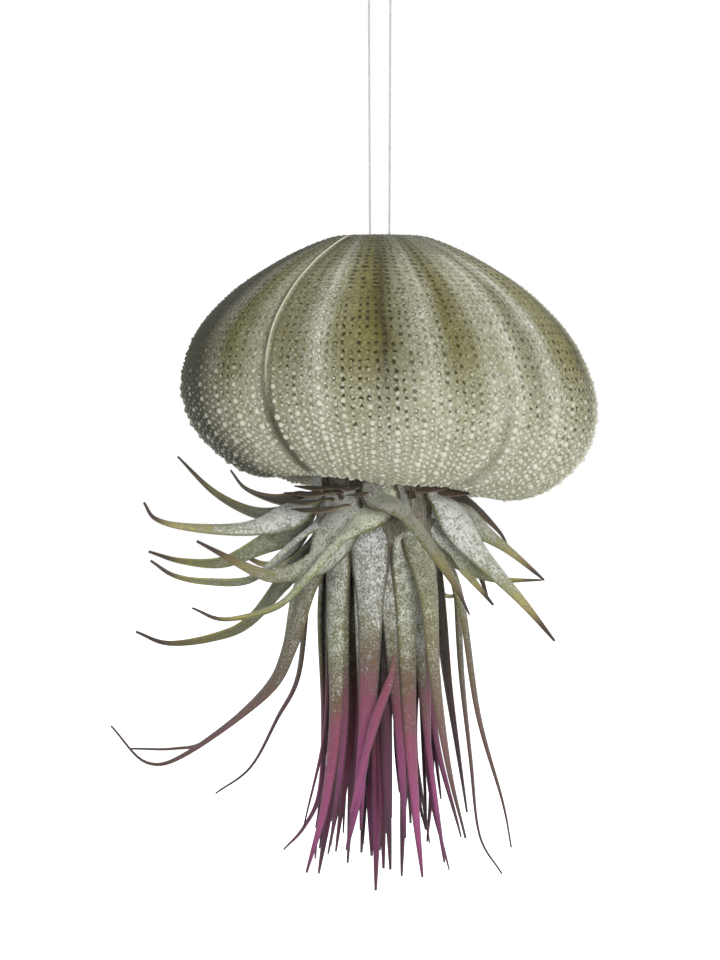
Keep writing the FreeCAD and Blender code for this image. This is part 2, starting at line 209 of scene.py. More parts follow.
def material(name, colour, roughness, **sockets):
    """A Principled material, and its tree and shader for finer nodes."""
    made = bpy.data.materials.new(name)
    made.use_nodes = True
    shader = made.node_tree.nodes["Principled BSDF"]
    shader.inputs["Base Color"].default_value = tint(colour)
    shader.inputs["Roughness"].default_value = roughness
    for socket, value in sockets.items():
        shader.inputs[socket.replace("_", " ")].default_value = value
    return made, made.node_tree, shader


def ramp(tree, factor, stops):
    """The colour of a ramp through (place, colour code) stops."""
    made = node(tree, "ValToRGB", {"Fac": factor})
    elements = made.color_ramp.elements
    while len(elements) < len(stops):
        elements.new(1)
    for element, (place, code) in zip(elements, stops):
        element.position = place
        element.color = tint(code)
    return made.outputs["Color"]


def noise(tree, scale, detail=3.0, vector=None, roughness=0.55):
    """The factor of a Noise texture, over the object's own coordinates unless told otherwise."""
    if vector is None:
        vector = node(tree, "TexCoord").outputs["Object"]
    inputs = {"Vector": vector, "Scale": scale, "Detail": detail, "Roughness": roughness}
    return node(tree, "TexNoise", inputs).outputs["Fac"]


def bump(tree, height, distance):
    """The normal of a Bump node of full strength."""
    inputs = {"Height": height, "Distance": distance, "Strength": 1.0}
    return node(tree, "Bump", inputs).outputs["Normal"]


nylon, tree, shader = material("clear_nylon", "d3d7d9", 0.2, Transmission_Weight=0.5, IOR=1.52)
haze = ramp(tree, noise(tree, 500), [(0.35, "c6cbce"), (0.65, "dde1e2")])
tree.links.new(haze, shader.inputs["Base Color"])
tree.links.new(bump(tree, noise(tree, 2500), 0.008 * mm), shader.inputs["Normal"])

hanging_line = line_curve("line_loop_strand", [(x, 0, z) for x, z in route])
hanging_line.data.materials.append(nylon)
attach(hanging_line, "line_loop")
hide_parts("hanging_line")

# The knot: the two ends of the line, wound five times round each other, pulled tight and clipped
# short. It is too big for the disc's holes, so it stops the loop under the disc.
knot_turns = 5
knot_points_a_turn = 10
knot_waist_share = 0.72
knot_crest = (knot_high.z - knot_low.z) / 2 - line_radius
knot_waist = knot_crest * knot_waist_share
knot_points = knot_turns * knot_points_a_turn
winding = []
for i in range(knot_points + 1):
    share = i / knot_points
    turn = 2 * math.pi * i / knot_points_a_turn
    bulge = knot_waist + (knot_crest - knot_waist) * math.sin(math.pi * share)
    along = (2 * share - 1) * (knot_side - line_radius)
    winding.append((along, bulge * math.cos(turn), knot_height + bulge * math.sin(turn)))
knot = line_curve("knot_turns", winding)
knot.data.materials.append(nylon)
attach(knot, "line_loop")
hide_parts("line_knot")

# The screw hook: one zinc-plated steel wire, bent to a shoulder and an open bowl with a rounded
# lip, and rolled to a wood screw with a gimlet point at its upper end.
neck_length = 8 * mm
shoulder_radius = 4 * mm
bowl_radius = 7 * mm
lip_angle = math.radians(24)
thread_radius = 1.7 * mm
thread_core = 1.2 * mm
thread_pitch = 1.35 * mm
thread_top = 12 * mm
point_length = 3 * mm
thread_half_width = 0.24
thread_start = 1.5 * mm
thread_rise = 2 * mm
thread_rows = 260
hook_foot = 0.2 * mm
hook_sides = 24
neck_points, shoulder_points, bowl_points = 8, 14, 60
lip_rings = 5
lip_round_share = 0.97


def smooth_path(points, steps):
    """Points along a Catmull-Rom line through the given ones, with steps between neighbours."""
    p = np.array(points, float)
    p = np.vstack([2 * p[0] - p[1], p, 2 * p[-1] - p[-2]])
    t = np.linspace(0, 1, steps, endpoint=False)[:, None]
    spans = []
    for a, b, c, d in zip(p, p[1:], p[2:], p[3:]):
        squared = (2 * a - 5 * b + 4 * c - d) * t**2
        cubed = (3 * b - a - 3 * c + d) * t**3
        spans.append(0.5 * (2 * b + (c - a) * t + squared + cubed))
    return np.vstack(spans + [p[-2:-1]])


def carried_frames(path, across):
    """Unit vectors along, across and normal at each point, carried without twist."""
    along = np.gradient(path, axis=0)
    along /= np.linalg.norm(along, axis=1)[:, None]
    sides = np.empty_like(path)
    for i, forward in enumerate(along):
        across = across - forward * (forward @ across)
        across = across / np.linalg.norm(across)
        sides[i] = across
    return along, sides, np.cross(along, sides)


def ring_faces(rings, sides):
    """Quads between rings of points, and end caps."""
    faces = []
    for i in range(rings - 1):
        for j in range(sides):
            k = (j + 1) % sides
            faces.append((i * sides + j, i * sides + k, (i + 1) * sides + k, (i + 1) * sides + j))
    faces.append(tuple(reversed(range(sides))))
    faces.append(tuple((rings - 1) * sides + j for j in range(sides)))
    return faces


def round_bar(name, path, radii, sides, across=(1, 0, 0)):
    """A round bar along a path, with a radius at each point."""
    _, side, normal = carried_frames(path, np.array(across, float))
    turn = 2 * np.pi * np.arange(sides) / sides
    cosine, sine = np.cos(turn)[None, :, None], np.sin(turn)[None, :, None]
    wheel = side[:, None] * cosine + normal[:, None] * sine
    points = path[:, None] + wheel * np.asarray(radii)[:, None, None]
    return link_mesh(name, points.reshape(-1, 3), ring_faces(len(path), sides))


def hook_arc(centre_y, centre_z, radius, start, end, count):
    """Points of an arc in the hook's plane."""
    turns = np.linspace(start, end, count)
    y = centre_y + radius * np.cos(turns)
    z = centre_z + radius * np.sin(turns)
    return np.stack([turns * 0, y, z], axis=1)


bowl_drop = math.sqrt((bowl_radius + shoulder_radius) ** 2 - shoulder_radius**2)
touch = math.atan2(bowl_drop, shoulder_radius)
neck = np.array([(0, 0, z) for z in np.linspace(-hook_foot, -neck_length, neck_points)])
shoulder_turns = (math.pi, math.pi + touch)
shoulder = hook_arc(shoulder_radius, -neck_length, shoulder_radius, *shoulder_turns, shoulder_points)
bowl = hook_arc(0, -neck_length - bowl_drop, bowl_radius, touch, -math.pi - lip_angle, bowl_points)
lip_turn = np.linspace(0, 1, lip_rings + 1)[1:] * np.pi / 2
lip_way = bowl[-1] - bowl[-2]
lip_way = lip_way / np.linalg.norm(lip_way)
lip = bowl[-1] + lip_way * (hook_wire_radius * np.sin(lip_turn))[:, None]
bar = np.vstack([neck, shoulder[1:], bowl[1:], lip])
bar_radii = np.full(len(bar), hook_wire_radius)
bar_radii[-lip_rings:] = hook_wire_radius * np.cos(lip_turn * lip_round_share)
hook = round_bar("hook_wire", bar, bar_radii, hook_sides)

# The screw's radius by height and turn: the core, with the thread's ridge on it, down to the point
zinc_coat = 0.02 * mm
heights = np.linspace(-hook_foot, thread_top + point_length, thread_rows)
turns = 2 * np.pi * np.arange(hook_sides) / hook_sides
phase = (heights[:, None] / thread_pitch - turns[None] / (2 * np.pi)) % 1
ridge = np.clip(1 - np.abs(phase - 0.5) / thread_half_width, 0, 1)
start_fade = np.clip((heights - thread_start) / thread_rise, 0, 1)[:, None]
point_fade = np.clip((thread_top + point_length - heights) / point_length, 0, 1)[:, None]
narrowing = np.clip(heights / thread_start, 0, 1)[:, None]
shank = hook_wire_radius + (thread_core - hook_wire_radius) * narrowing
radius = shank * point_fade**0.8 + (thread_radius - thread_core) * ridge * start_fade * point_fade**0.5
radius = np.minimum(radius, hook_wire_radius) + zinc_coat
screw_rings = [radius * np.cos(turns), radius * np.sin(turns), heights[:, None] + radius * 0]
screw_points = np.stack(screw_rings, axis=2).reshape(-1, 3)
thread = link_mesh("hook_screw_thread", screw_points, ring_faces(thread_rows, hook_sides))

zinc, tree, shader = material("zinc_plate", "a3a5a7", 0.3, Metallic=1.0)
drawn = noise(tree, 420, 5, roughness=0.65)
zinc_tones = ramp(tree, drawn, [(0.3, "85888c"), (0.55, "9b9da0"), (0.8, "b1b2b2")])
tree.links.new(zinc_tones, shader.inputs["Base Color"])
tree.links.new(math_node(tree, "MULTIPLY_ADD", drawn, 0.25, 0.24), shader.inputs["Roughness"])
tree.links.new(bump(tree, noise(tree, 3500, 5), 0.03 * mm), shader.inputs["Normal"])
for piece in (hook, thread):
    piece.data.materials.append(zinc)
    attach(piece, "ceiling_hook")
    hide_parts("screw_hook")

# The ceiling collar: a pressed steel washer with a rolled edge, pushed on to the hook's neck so
# that the screw stops at the same depth each time. Its faces are brushed.
brushed, tree, shader = material("brushed_steel", "b2b3b2", 0.35, Metallic=1.0)
own_place = node(tree, "TexCoord").outputs["Object"]
brushing = node(tree, "Mapping", {"Vector": own_place, "Scale": (1, 1, 0.05)})
grain = noise(tree, 2200, 5, brushing.outputs["Vector"])
tree.links.new(ramp(tree, grain, [(0.3, "85888a"), (0.7, "b2b4b4")]), shader.inputs["Base Color"])
tree.links.new(math_node(tree, "MULTIPLY_ADD", grain, 0.35, 0.15), shader.inputs["Roughness"])
tree.links.new(bump(tree, grain, 0.02 * mm), shader.inputs["Normal"])
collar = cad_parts["ceiling_collar"]
collar.data.materials.clear()
collar.data.materials.append(brushed)

# The stopper disc: a small turned beech button with two holes, inside the test. The line runs
# through both holes, and the rim of the test's top hole rests on it.
beech, tree, shader = material("turned_beech", "a98256", 0.55)
rings = node(tree, "TexWave", {"Scale": 420.0, "Distortion": 3.0, "Detail": 3.0}, wave_type="RINGS")
beech_tones = ramp(tree, rings.outputs["Fac"], [(0.1, "8a6238"), (0.6, "b48c5e"), (1.0, "c49f72")])
tree.links.new(beech_tones, shader.inputs["Base Color"])
tree.links.new(bump(tree, rings.outputs["Fac"], 0.03 * mm), shader.inputs["Normal"])
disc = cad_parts["stopper_disc"]
disc.data.materials.clear()
disc.data.materials.append(beech)

# The urchin's test: a thin shell of lime grown as five lobes, with a rib along each crease between
# them, rows of pores down its plates, and an open apex and mouth. The underside of its front and
# left lobes arches up. From here on, lengths are in millimetres until a mesh is made of them.
shell_radius = 42.5
shell_height = 52.0
shell_wall = 1.3
apex_hole_radius = 4.5
apex_crest_radius = 5.2
apex_crest_rise = 0.02
apex_flat_radius = 9.3
apex_flat_drop = 0.1
apex_crease = 0.004
edge_bevel = 0.25
mouth_radius = 13.0
mouth_rim = 1.5
mouth_rise = 3.6
shell_shift = 3.2
shell_sag = 3.1
lobes = 5
front_lobe = 268.0
crease_softness = 0.32
front_rise = 1.9
front_rise_angle = 242.0
front_rise_start_share = 0.72
front_rise_full_share = 0.22
front_rise_fade = 6
loop_drop = 52.0
crown_height = saddle_height / mm - loop_drop
mouth_height = crown_height - shell_height + mouth_rise

# Rows down the outside, as in the solids: shares out and down, and the crease's depth as a share of
# the radius, above the widest ring, and below it also how far the crease rises
UPPER_ROWS = (
    (0.185, 0.045, 0.010),
    (0.400, 0.118, 0.018),
    (0.640, 0.222, 0.034),
    (0.850, 0.362, 0.042),
    (0.962, 0.500, 0.048),
    (1.000, 0.640, 0.058),
)
LOWER_ROWS = (
    (0.930, 0.785, 0.075, 0.006),
    (0.785, 0.890, 0.100, 0.028),
    (0.590, 0.968, 0.110, 0.055),
    (0.370, 0.994, 0.080, 0.048),
    (0.150, 0.968, 0.030, 0.016),
)
rim_radius = mouth_radius + mouth_rim
rim_drop = shell_height - mouth_rise

# The profile's rows hold radius, drop, crease depth, crease rise, shift and lean
rows = [
    (apex_hole_radius, edge_bevel, 0, 0, 0, 0),
    (apex_crest_radius, -apex_crest_rise, 0, 0, 0, 0),
    (apex_flat_radius, apex_flat_drop, apex_crease, 0, 0, 0),
]
for out, down, crease in UPPER_ROWS:
    radius = apex_flat_radius + out * (shell_radius - apex_flat_radius)
    rows.append((radius, down * shell_height, crease, 0, down, down))
for out, down, crease, rise in LOWER_ROWS:
    radius = rim_radius + out * (shell_radius - rim_radius)
    rows.append((radius, down * shell_height, crease, rise * shell_height, down * out, down))
rows.append((rim_radius, rim_drop, 0, 0, 0, 0))
rows.append((mouth_radius, rim_drop - edge_bevel, 0, 0, 0, 0))
row_steps = 16
profile = smooth_path(rows, row_steps)
profile_steps = np.hypot(*np.diff(profile[:, :2], axis=0).T)
profile_run = np.concatenate([[0], np.cumsum(profile_steps)])


def profile_at(run):
    """The profile's six values at lengths along it, in millimetres from the apex hole."""
    return np.stack([np.interp(run, profile_run, profile[:, i]) for i in range(6)], axis=-1)


def lobe_place(angle):
    """How far an angle is from the middle of its lobe, from -1 to 1 at the creases."""
    pitch = 360 / lobes
    return ((np.asarray(angle) - front_lobe + pitch / 2) % pitch) / pitch * 2 - 1


def on_shell(angle, run, lift=0.0):
    """Points, in metres, of the test's outside at angles and lengths down it, lifted off it."""
    angle, run = np.broadcast_arrays(np.asarray(angle, float), np.asarray(run, float))
    radius, drop, crease, rise, shift, lean = np.moveaxis(profile_at(run), -1, 0)
    step = 0.05
    ahead, behind = profile_at(run + step), profile_at(run - step)
    fall = ahead[..., 1] - behind[..., 1]
    reach = ahead[..., 0] - behind[..., 0]
    slope = np.hypot(fall, reach) + 1e-9
    turn = np.radians(angle - front_lobe) * lobes / 2
    fullness = np.hypot(np.cos(turn), crease_softness) / math.hypot(1, crease_softness)
    depth = 1 - fullness
    low = np.clip((drop / shell_height - front_rise_start_share) / front_rise_full_share, 0, 1)
    low = low * np.clip((radius - rim_radius) / front_rise_fade, 0, 1)
    facing = np.clip(np.cos(np.radians(angle - front_rise_angle)), 0, 1)
    arch = low * low * (3 - 2 * low) * facing * (1 - depth)
    rise = rise * depth + front_rise * arch
    out = radius * (1 - crease * depth) + lift * fall / slope
    x, y = out * np.cos(np.radians(angle)), out * np.sin(np.radians(angle))
    z = crown_height - drop + rise - shell_sag * lean * x / shell_radius + lift * reach / slope
    return np.stack([x + shell_shift * shift, y, z], axis=-1) * mm


# The rib stands on the crease between two grooves. It fades under the widest ring, where the
# crease becomes a fold that runs on to the mouth.
rib_height = 0.42
rib_half_width = 0.21
groove_depth = 0.26
groove_place = 0.95
groove_half_width = 0.42
groove_share = 0.6
fold_half_width = 1.7
rib_lean = 1.2
rib_start, rib_start_fade = 3, 5
rib_end, rib_end_fade = 62, 16
fold_start, fold_start_fade = 48, 12
fold_end, fold_end_fade = 86, 8
wall_rows = 150
inner_wall_rows = 24
crease_columns = 18
crease_span = 0.075
lobe_columns = 92
outer_run = profile_run[-1]

# How strong the rib is on each crease, from the one at the left of the front lobe
RIB_STRENGTHS = (1.0, 0.15, 0.3, 0.45, 0.5)


def between(place, start, start_fade, end, end_fade):
    """1 between two lengths or two angles, fading in after the first and out before the last."""
    return np.clip((place - start) / start_fade, 0, 1) * np.clip((end - place) / end_fade, 0, 1)


def crease_parts(angle, run):
    """The rib and its grooves, each from 0 to 1."""
    nearest = np.round((np.asarray(angle) - rib_lean - front_lobe) / 360 * lobes - 0.5)
    place = lobe_place(angle - rib_lean)
    strength = np.take(RIB_STRENGTHS, (nearest.astype(int) + 1) % lobes)
    radius = profile_at(run)[..., 0]
    away = (1 - np.abs(place)) * math.radians(180 / lobes) * radius
    faded = between(run, rib_start, rib_start_fade, rib_end, rib_end_fade) * strength
    rib = np.exp(-((away / rib_half_width) ** 2))
    groove = np.exp(-(((away - groove_place) / groove_half_width) ** 2))
    fold = np.exp(-((away / fold_half_width) ** 2))
    fold = fold * between(run, fold_start, fold_start_fade, fold_end, fold_end_fade)
    fold = fold * np.clip(strength + 0.2, 0, 1)
    return rib * faded, np.clip(groove_share * groove * faded + fold, 0, 1)


near = np.linspace(0, crease_span, crease_columns // 2, endpoint=False)
middle = np.linspace(crease_span, 2 - crease_span, lobe_columns, endpoint=False)
far = np.linspace(2 - crease_span, 2, crease_columns // 2, endpoint=False)
one_lobe = np.concatenate([near, middle, far]) * 180 / lobes
columns = np.concatenate([one_lobe + i * 360 / lobes for i in range(lobes)])
columns = columns + front_lobe - 180 / lobes + rib_lean
column_count = len(columns)
runs = np.linspace(0, outer_run, wall_rows)
grid_angle, grid_run = np.meshgrid(columns, runs)
rib, groove = crease_parts(grid_angle, grid_run)

# Faint growth rings round the test, and two low swells down each lobe
growth_ring_height, growth_ring_run = 0.05, 3.1
growth_start, growth_start_fade, growth_end_fade = 6, 20, 12
swell_height = 0.16
growth_rings = growth_ring_height * np.cos(grid_run / growth_ring_run)
swells = swell_height * np.cos(np.radians(grid_angle - front_lobe) * lobes * 2)
growth = growth_rings + swells
growth = growth * between(grid_run, growth_start, growth_start_fade, outer_run, growth_end_fade)
outside = on_shell(grid_angle, grid_run, rib_height * rib - groove_depth * groove + growth)
inner_inset = 0.4
inner_runs = np.linspace(outer_run - inner_inset, inner_inset, inner_wall_rows)
inside = on_shell(*np.meshgrid(columns, inner_runs), -shell_wall)
wall_points = np.concatenate([outside.reshape(-1, 3), inside.reshape(-1, 3)])
wall_faces = []
all_rows = wall_rows + inner_wall_rows
for i in range(all_rows):
    row, next_row = i * column_count, (i + 1) % all_rows * column_count
    for j in range(column_count):
        k = (j + 1) % column_count
        wall_faces.append((row + j, next_row + j, next_row + k, row + k))
wall = link_mesh("urchin_test_wall", wall_points, wall_faces)


def note(piece, name, values):
    """Write a number for each point of a mesh, for its material to read."""
    layer = piece.data.attributes.new(name, "FLOAT", "POINT")
    layer.data.foreach_set("value", np.asarray(values, np.float32).ravel())


def read_note(tree, name):
    """The number that a mesh carries under a name."""
    return node(tree, "Attribute", attribute_name=name).outputs["Fac"]


dark_start, dark_start_fade = 126, 50
dark_end, dark_end_fade = 220, 16
streak_angle, streak_half_width = 308, 3.6
streak_start, streak_start_fade = 8, 10
streak_strength = 0.95


def side_tone_and_shade(angle):
    """How dark each side of the test is made: dark round the left edge, the side turned from the lamps,
    partly its own darker tone and partly painted shade, and pale in front.
    """
    return between(np.asarray(angle) % 360, dark_start, dark_start_fade, dark_end, dark_end_fade)


def pale_streak(angle, run):
    """The palest streak of the test, beside the crease at the right of the front lobe."""
    across = np.exp(-(((np.asarray(angle) % 360 - streak_angle) / streak_half_width) ** 2))
    return streak_strength * across * np.clip((np.asarray(run) - streak_start) / streak_start_fade, 0, 1)


all_angles = np.concatenate([grid_angle.ravel(), np.tile(columns, inner_wall_rows)])
all_runs = np.concatenate([grid_run.ravel(), np.repeat(inner_runs, column_count)])
no_crease = np.zeros(inner_wall_rows * column_count)
note(wall, "band", lobe_place(all_angles - rib_lean) / 2 + 0.5)
note(wall, "rib", np.concatenate([rib.ravel(), no_crease]))
note(wall, "groove", np.concatenate([groove.ravel(), no_crease]))
note(wall, "down", all_runs / outer_run)
note(wall, "dark", side_tone_and_shade(all_angles))
note(wall, "streak", pale_streak(all_angles, all_runs))
note(wall, "inner", np.arange(len(all_angles)) >= wall_rows * column_count)

# The map of the plates: across it the share of a turn, and up it the share of the profile's length
plate_map = wall.data.uv_layers.new(name="plates")
turn_share = (columns - columns[0]) / 360
corner_rows = np.array([[i, i + 1, i + 1, i] for i in range(all_rows)])
uv = np.empty((all_rows, column_count, 4, 2))
run_share = np.concatenate([runs, inner_runs, runs[:1]]) / outer_run
next_share = np.append(turn_share[1:], 1.0)
uv[..., 0, 0] = uv[..., 1, 0] = turn_share
uv[..., 2, 0] = uv[..., 3, 0] = next_share
uv[..., :, 1] = run_share[corner_rows][:, None]
plate_map.data.foreach_set("uv", uv.ravel())


def node_group(name, inputs, outputs):
    """A new shader node group with named sockets, and its tree, input node and output node."""
    tree = bpy.data.node_groups.new(name, "ShaderNodeTree")
    for socket, kind, value in inputs:
        made = tree.interface.new_socket(socket, in_out="INPUT", socket_type="NodeSocket" + kind)
        made.default_value = value
    for socket, kind in outputs:
        tree.interface.new_socket(socket, in_out="OUTPUT", socket_type="NodeSocket" + kind)
    return tree, tree.nodes.new("NodeGroupInput").outputs, tree.nodes.new("NodeGroupOutput").inputs


def mix(tree, factor, first, second, blend="MIX"):
    """The colour of a Mix node."""
    inputs = {0: factor, 6: first, 7: second}
    return node(tree, "Mix", inputs, data_type="RGBA", blend_type=blend).outputs[2]


def smooth_range(tree, value, low, high, out_low=0.0, out_high=1.0):
    """A value taken smoothly from one range to another."""
    inputs = {"Value": value, "From Min": low, "From Max": high, "To Min": out_low, "To Max": out_high}
    return node(tree, "MapRange", inputs, interpolation_type="SMOOTHSTEP").outputs["Result"]


# The test's colour, a group for its wall and its tubercles: it runs in bands down each lobe, paler
# toward the mouth, and darker at the left with its own tone and painted shade
group, given, result = node_group(
    "test_colour", [("Paleness", "Float", 0.0)], [("Colour", "Color"), ("Pores", "Float")]
)
wander = math_node(group, "MULTIPLY_ADD", noise(group, 90, 3), 0.07, -0.035)
band = math_node(group, "ADD", read_note(group, "band"), wander)

# Across a lobe from crease to crease: its colour, and how dark its pores are
BAND_STOPS = [
    (0.00, "c4c3aa"),
    (0.05, "a3a17e"),
    (0.15, "a9a88e"),
    (0.235, "ecede3"),
    (0.30, "b0ae8c"),
    (0.40, "98955f"),
    (0.465, "807b48"),
    (0.495, "575229"),
    (0.525, "86845e"),
    (0.60, "b4b39e"),
    (0.68, "dddccd"),
    (0.78, "8e8c5a"),
    (0.86, "a5a380"),
    (0.93, "cfcebb"),
    (1.00, "cac9b4"),
]
PORE_STOPS = [
    (0.02, "808080"),
    (0.10, "f0f0f0"),
    (0.235, "888888"),
    (0.34, "ffffff"),
    (0.54, "ffffff"),
    (0.66, "a4a4a4"),
    (0.78, "ffffff"),
    (0.92, "a8a8a8"),
    (1.0, "808080"),
]
banded = ramp(group, band, BAND_STOPS)
group.links.new(ramp(group, band, PORE_STOPS), result["Pores"])
banded = mix(group, read_note(group, "streak"), banded, tint("f2f1e6"))
low_paleness = smooth_range(group, read_note(group, "down"), 0.44, 0.70, 0.0, 0.82)
banded = mix(group, low_paleness, banded, tint("ebebdc"))
top_dark = smooth_range(group, read_note(group, "down"), 0.27, 0.02, 0.0, 0.85)
banded = mix(group, top_dark, banded, tint("57563f"))
# The left side of the test, turned from the lamps, darkens toward 34341f: partly its own tone, partly
# painted shade
left_tone_and_shade = math_node(group, "MULTIPLY", read_note(group, "dark"), 0.92)
banded = mix(group, left_tone_and_shade, banded, tint("34341f"))
blotch = ramp(group, noise(group, 240, 4), [(0.30, "cfcdba"), (0.70, "ffffff")])
banded = mix(group, 0.6, banded, blotch, "MULTIPLY")
group.links.new(mix(group, given["Paleness"], banded, tint("e2e0cf")), result["Colour"])
test_colour = group

# The pores, a group: a dark dip near most points of a lattice of columns and rows over the plates,
# and the arched sutures between the plates
group, given, result = node_group(
    "plate_pores",
    [
        ("Columns", "Float", 150.0),
        ("Rows", "Float", 48.0),
        ("Size", "Float", 0.25),
        ("Share", "Float", 0.8),
    ],
    [("Pore", "Float"), ("Suture", "Float")],
)
lattice = node(group, "CombineXYZ", {0: given["Columns"], 1: given["Rows"], 2: 1.0})
places = node(group, "UVMap", uv_map="plates").outputs["UV"]
scaled = node(group, "VectorMath", {0: places, 1: lattice.outputs[0]}, operation="MULTIPLY").outputs[0]
jitter = node(group, "TexNoise", {"Vector": scaled, "Scale": 0.9, "Detail": 1.0}).outputs["Color"]
jitter = node(group, "VectorMath", {0: jitter, 1: (0.5, 0.5, 0.5)}, operation="SUBTRACT").outputs[0]
jitter = node(group, "VectorMath", {0: jitter, "Scale": 0.7}, operation="SCALE").outputs[0]
moved = node(group, "VectorMath", {0: scaled, 1: jitter}, operation="ADD").outputs[0]
cell = node(group, "VectorMath", {0: moved, 1: (0.5, 0.5, 0.5)}, operation="ADD").outputs[0]
cell_id = node(group, "VectorMath", {0: cell}, operation="FLOOR").outputs[0]
away = node(group, "VectorMath", {0: moved, 1: cell_id}, operation="SUBTRACT").outputs[0]
away = node(group, "VectorMath", {0: away, 1: (1, 1, 0)}, operation="MULTIPLY").outputs[0]
distance = node(group, "VectorMath", {0: away}, operation="LENGTH").outputs["Value"]
luck = node(group, "TexWhiteNoise", {"Vector": cell_id}).outputs["Value"]
chosen = math_node(group, "LESS_THAN", luck, given["Share"])
own_size = math_node(group, "MULTIPLY", given["Size"], math_node(group, "MULTIPLY_ADD", luck, 0.5, 0.8))
edge = math_node(group, "MULTIPLY", own_size, 0.45)
pore = smooth_range(group, distance, own_size, edge)
group.links.new(math_node(group, "MULTIPLY", pore, chosen), result["Pore"])
parts = node(group, "SeparateXYZ", {0: scaled}).outputs
arc = math_node(group, "COSINE", math_node(group, "MULTIPLY", parts[0], 2 * math.pi))
arched = math_node(group, "MULTIPLY_ADD", arc, 0.22, parts[1])
from_seam = math_node(group, "SUBTRACT", math_node(group, "FRACT", arched), 0.5)
from_seam = math_node(group, "ABSOLUTE", from_seam)
group.links.new(smooth_range(group, from_seam, 0.10, 0.0), result["Suture"])
plate_pores = group


def place_group(tree, group, **values):
    """The outputs of a group that is placed in a material with its own values."""
    return node(tree, "Group", values, node_tree=group).outputs


lime, tree, shader = material("urchin_lime", "9a9a80", 0.78, Specular_IOR_Level=0.35)

# Round the widest part the plates carry twice as many columns of pores as near the apex and mouth
down = read_note(tree, "down")
below_apex = smooth_range(tree, down, 0.30, 0.33)
above_mouth = smooth_range(tree, down, 0.86, 0.83)
wide_zone = math_node(tree, "MULTIPLY", below_apex, above_mouth)
wide = place_group(tree, plate_pores, Columns=150.0, Rows=50.0, Size=0.27, Share=0.9)
narrow = place_group(tree, plate_pores, Columns=75.0, Rows=62.0, Size=0.33, Share=0.95)
wide_pores = math_node(tree, "MULTIPLY", wide["Pore"], wide_zone)
narrow_pores = math_node(tree, "MULTIPLY", narrow["Pore"], math_node(tree, "SUBTRACT", 1.0, wide_zone))
pores = math_node(tree, "ADD", wide_pores, narrow_pores)
fading = smooth_range(tree, down, 0.58, 0.78, 1.0, 0.10)
off_rib = smooth_range(tree, read_note(tree, "rib"), 0.25, 0.05)
outer_only = math_node(tree, "SUBTRACT", 1.0, read_note(tree, "inner"))
outer_only = math_node(tree, "MULTIPLY", outer_only, off_rib)
pores = math_node(tree, "MULTIPLY", math_node(tree, "MULTIPLY", pores, fading), outer_only)
sutured = math_node(tree, "MULTIPLY", wide_zone, outer_only)
sutures = math_node(tree, "MULTIPLY", wide["Suture"], sutured)
ground = place_group(tree, test_colour, Paleness=0.0)
own_place = node(tree, "TexCoord").outputs["Object"]
grains = node(tree, "TexVoronoi", {"Vector": own_place, "Scale": 1250.0})
grains = smooth_range(tree, grains.outputs["Distance"], 0.62, 0.10)
grain_tint = ramp(tree, grains, [(0.0, "c6c4ae"), (0.7, "ffffff")])
colour = mix(tree, 0.75, ground["Colour"], grain_tint, "MULTIPLY")
colour = mix(tree, math_node(tree, "MULTIPLY", sutures, 0.25), colour, tint("5d5a3c"))
# Painted shade in the pits of the pores, darker in some bands than in others
pore_shade = math_node(tree, "MULTIPLY", pores, math_node(tree, "MULTIPLY", ground["Pores"], 0.95))
colour = mix(tree, pore_shade, colour, tint("353019"))
# Painted shade in the grooves beside each rib and in the folds of the creases under the widest ring
groove_shade = math_node(tree, "MULTIPLY", read_note(tree, "groove"), 0.85)
colour = mix(tree, groove_shade, colour, tint("3f3c26"))
ribbed = smooth_range(tree, read_note(tree, "rib"), 0.25, 0.80)
colour = mix(tree, ribbed, colour, tint("e6e3cf"))
colour = mix(tree, read_note(tree, "inner"), colour, tint("a9a795"))
tree.links.new(colour, shader.inputs["Base Color"])
grit = noise(tree, 2600, 4)
height = math_node(tree, "MULTIPLY_ADD", grit, 0.25, math_node(tree, "MULTIPLY", pores, -1.0))
height = math_node(tree, "SUBTRACT", height, math_node(tree, "MULTIPLY", sutures, 0.3))
height = math_node(tree, "ADD", height, math_node(tree, "MULTIPLY", grains, 0.6))
tree.links.new(bump(tree, height, 0.28 * mm), shader.inputs["Normal"])
tree.links.new(math_node(tree, "MULTIPLY_ADD", grit, 0.25, 0.62), shader.inputs["Roughness"])
wall.data.materials.append(lime)
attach(wall, "shell")
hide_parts("urchin_shell")

# The tubercles: the knobs of lime that the urchin's spines stood on, in columns between the pores.
# They are fine near the apex and grow to cream beads under the widest ring.
seed = random.Random(41)

# Zones down the profile: start, end, columns all round and spacing down a column
ZONES = ((3.6, 12.0, 40, 1.25), (12.0, 26.5, 75, 1.45), (26.5, 74.0, 150, 1.9), (74.0, 87.0, 75, 1.8))
close_run = 52
close_share = 0.86
bead_stray = 0.12
bead_drift = 0.10
bead_size_spread = 0.15
bead_clearance = 1.5
clearance_end = 80

# A bead's radius by its place down the profile, and how much smaller the beads between the main
# ones are from rank_start on
BEAD_RADII = ((3, 0.20), (14, 0.23), (36, 0.27), (48, 0.46), (60, 0.70), (80, 0.62), (88, 0.36))
rank_start = 38
small_rank = 0.6

# A bead's rings from foot to crown, as shares of its radius out and up, and how pale each is
BEAD_RINGS = ((1.0, -0.35), (0.86, 0.38), (0.52, 0.72), (0.30, 0.80))
BEAD_PALE_SHARES = (0.0, 0.35, 0.8, 1.0)
bead_sides = 7
bead_top = 1.05
flat_bead = 0.55
tall_bead = 0.90
tall_start, tall_fade = 40, 20


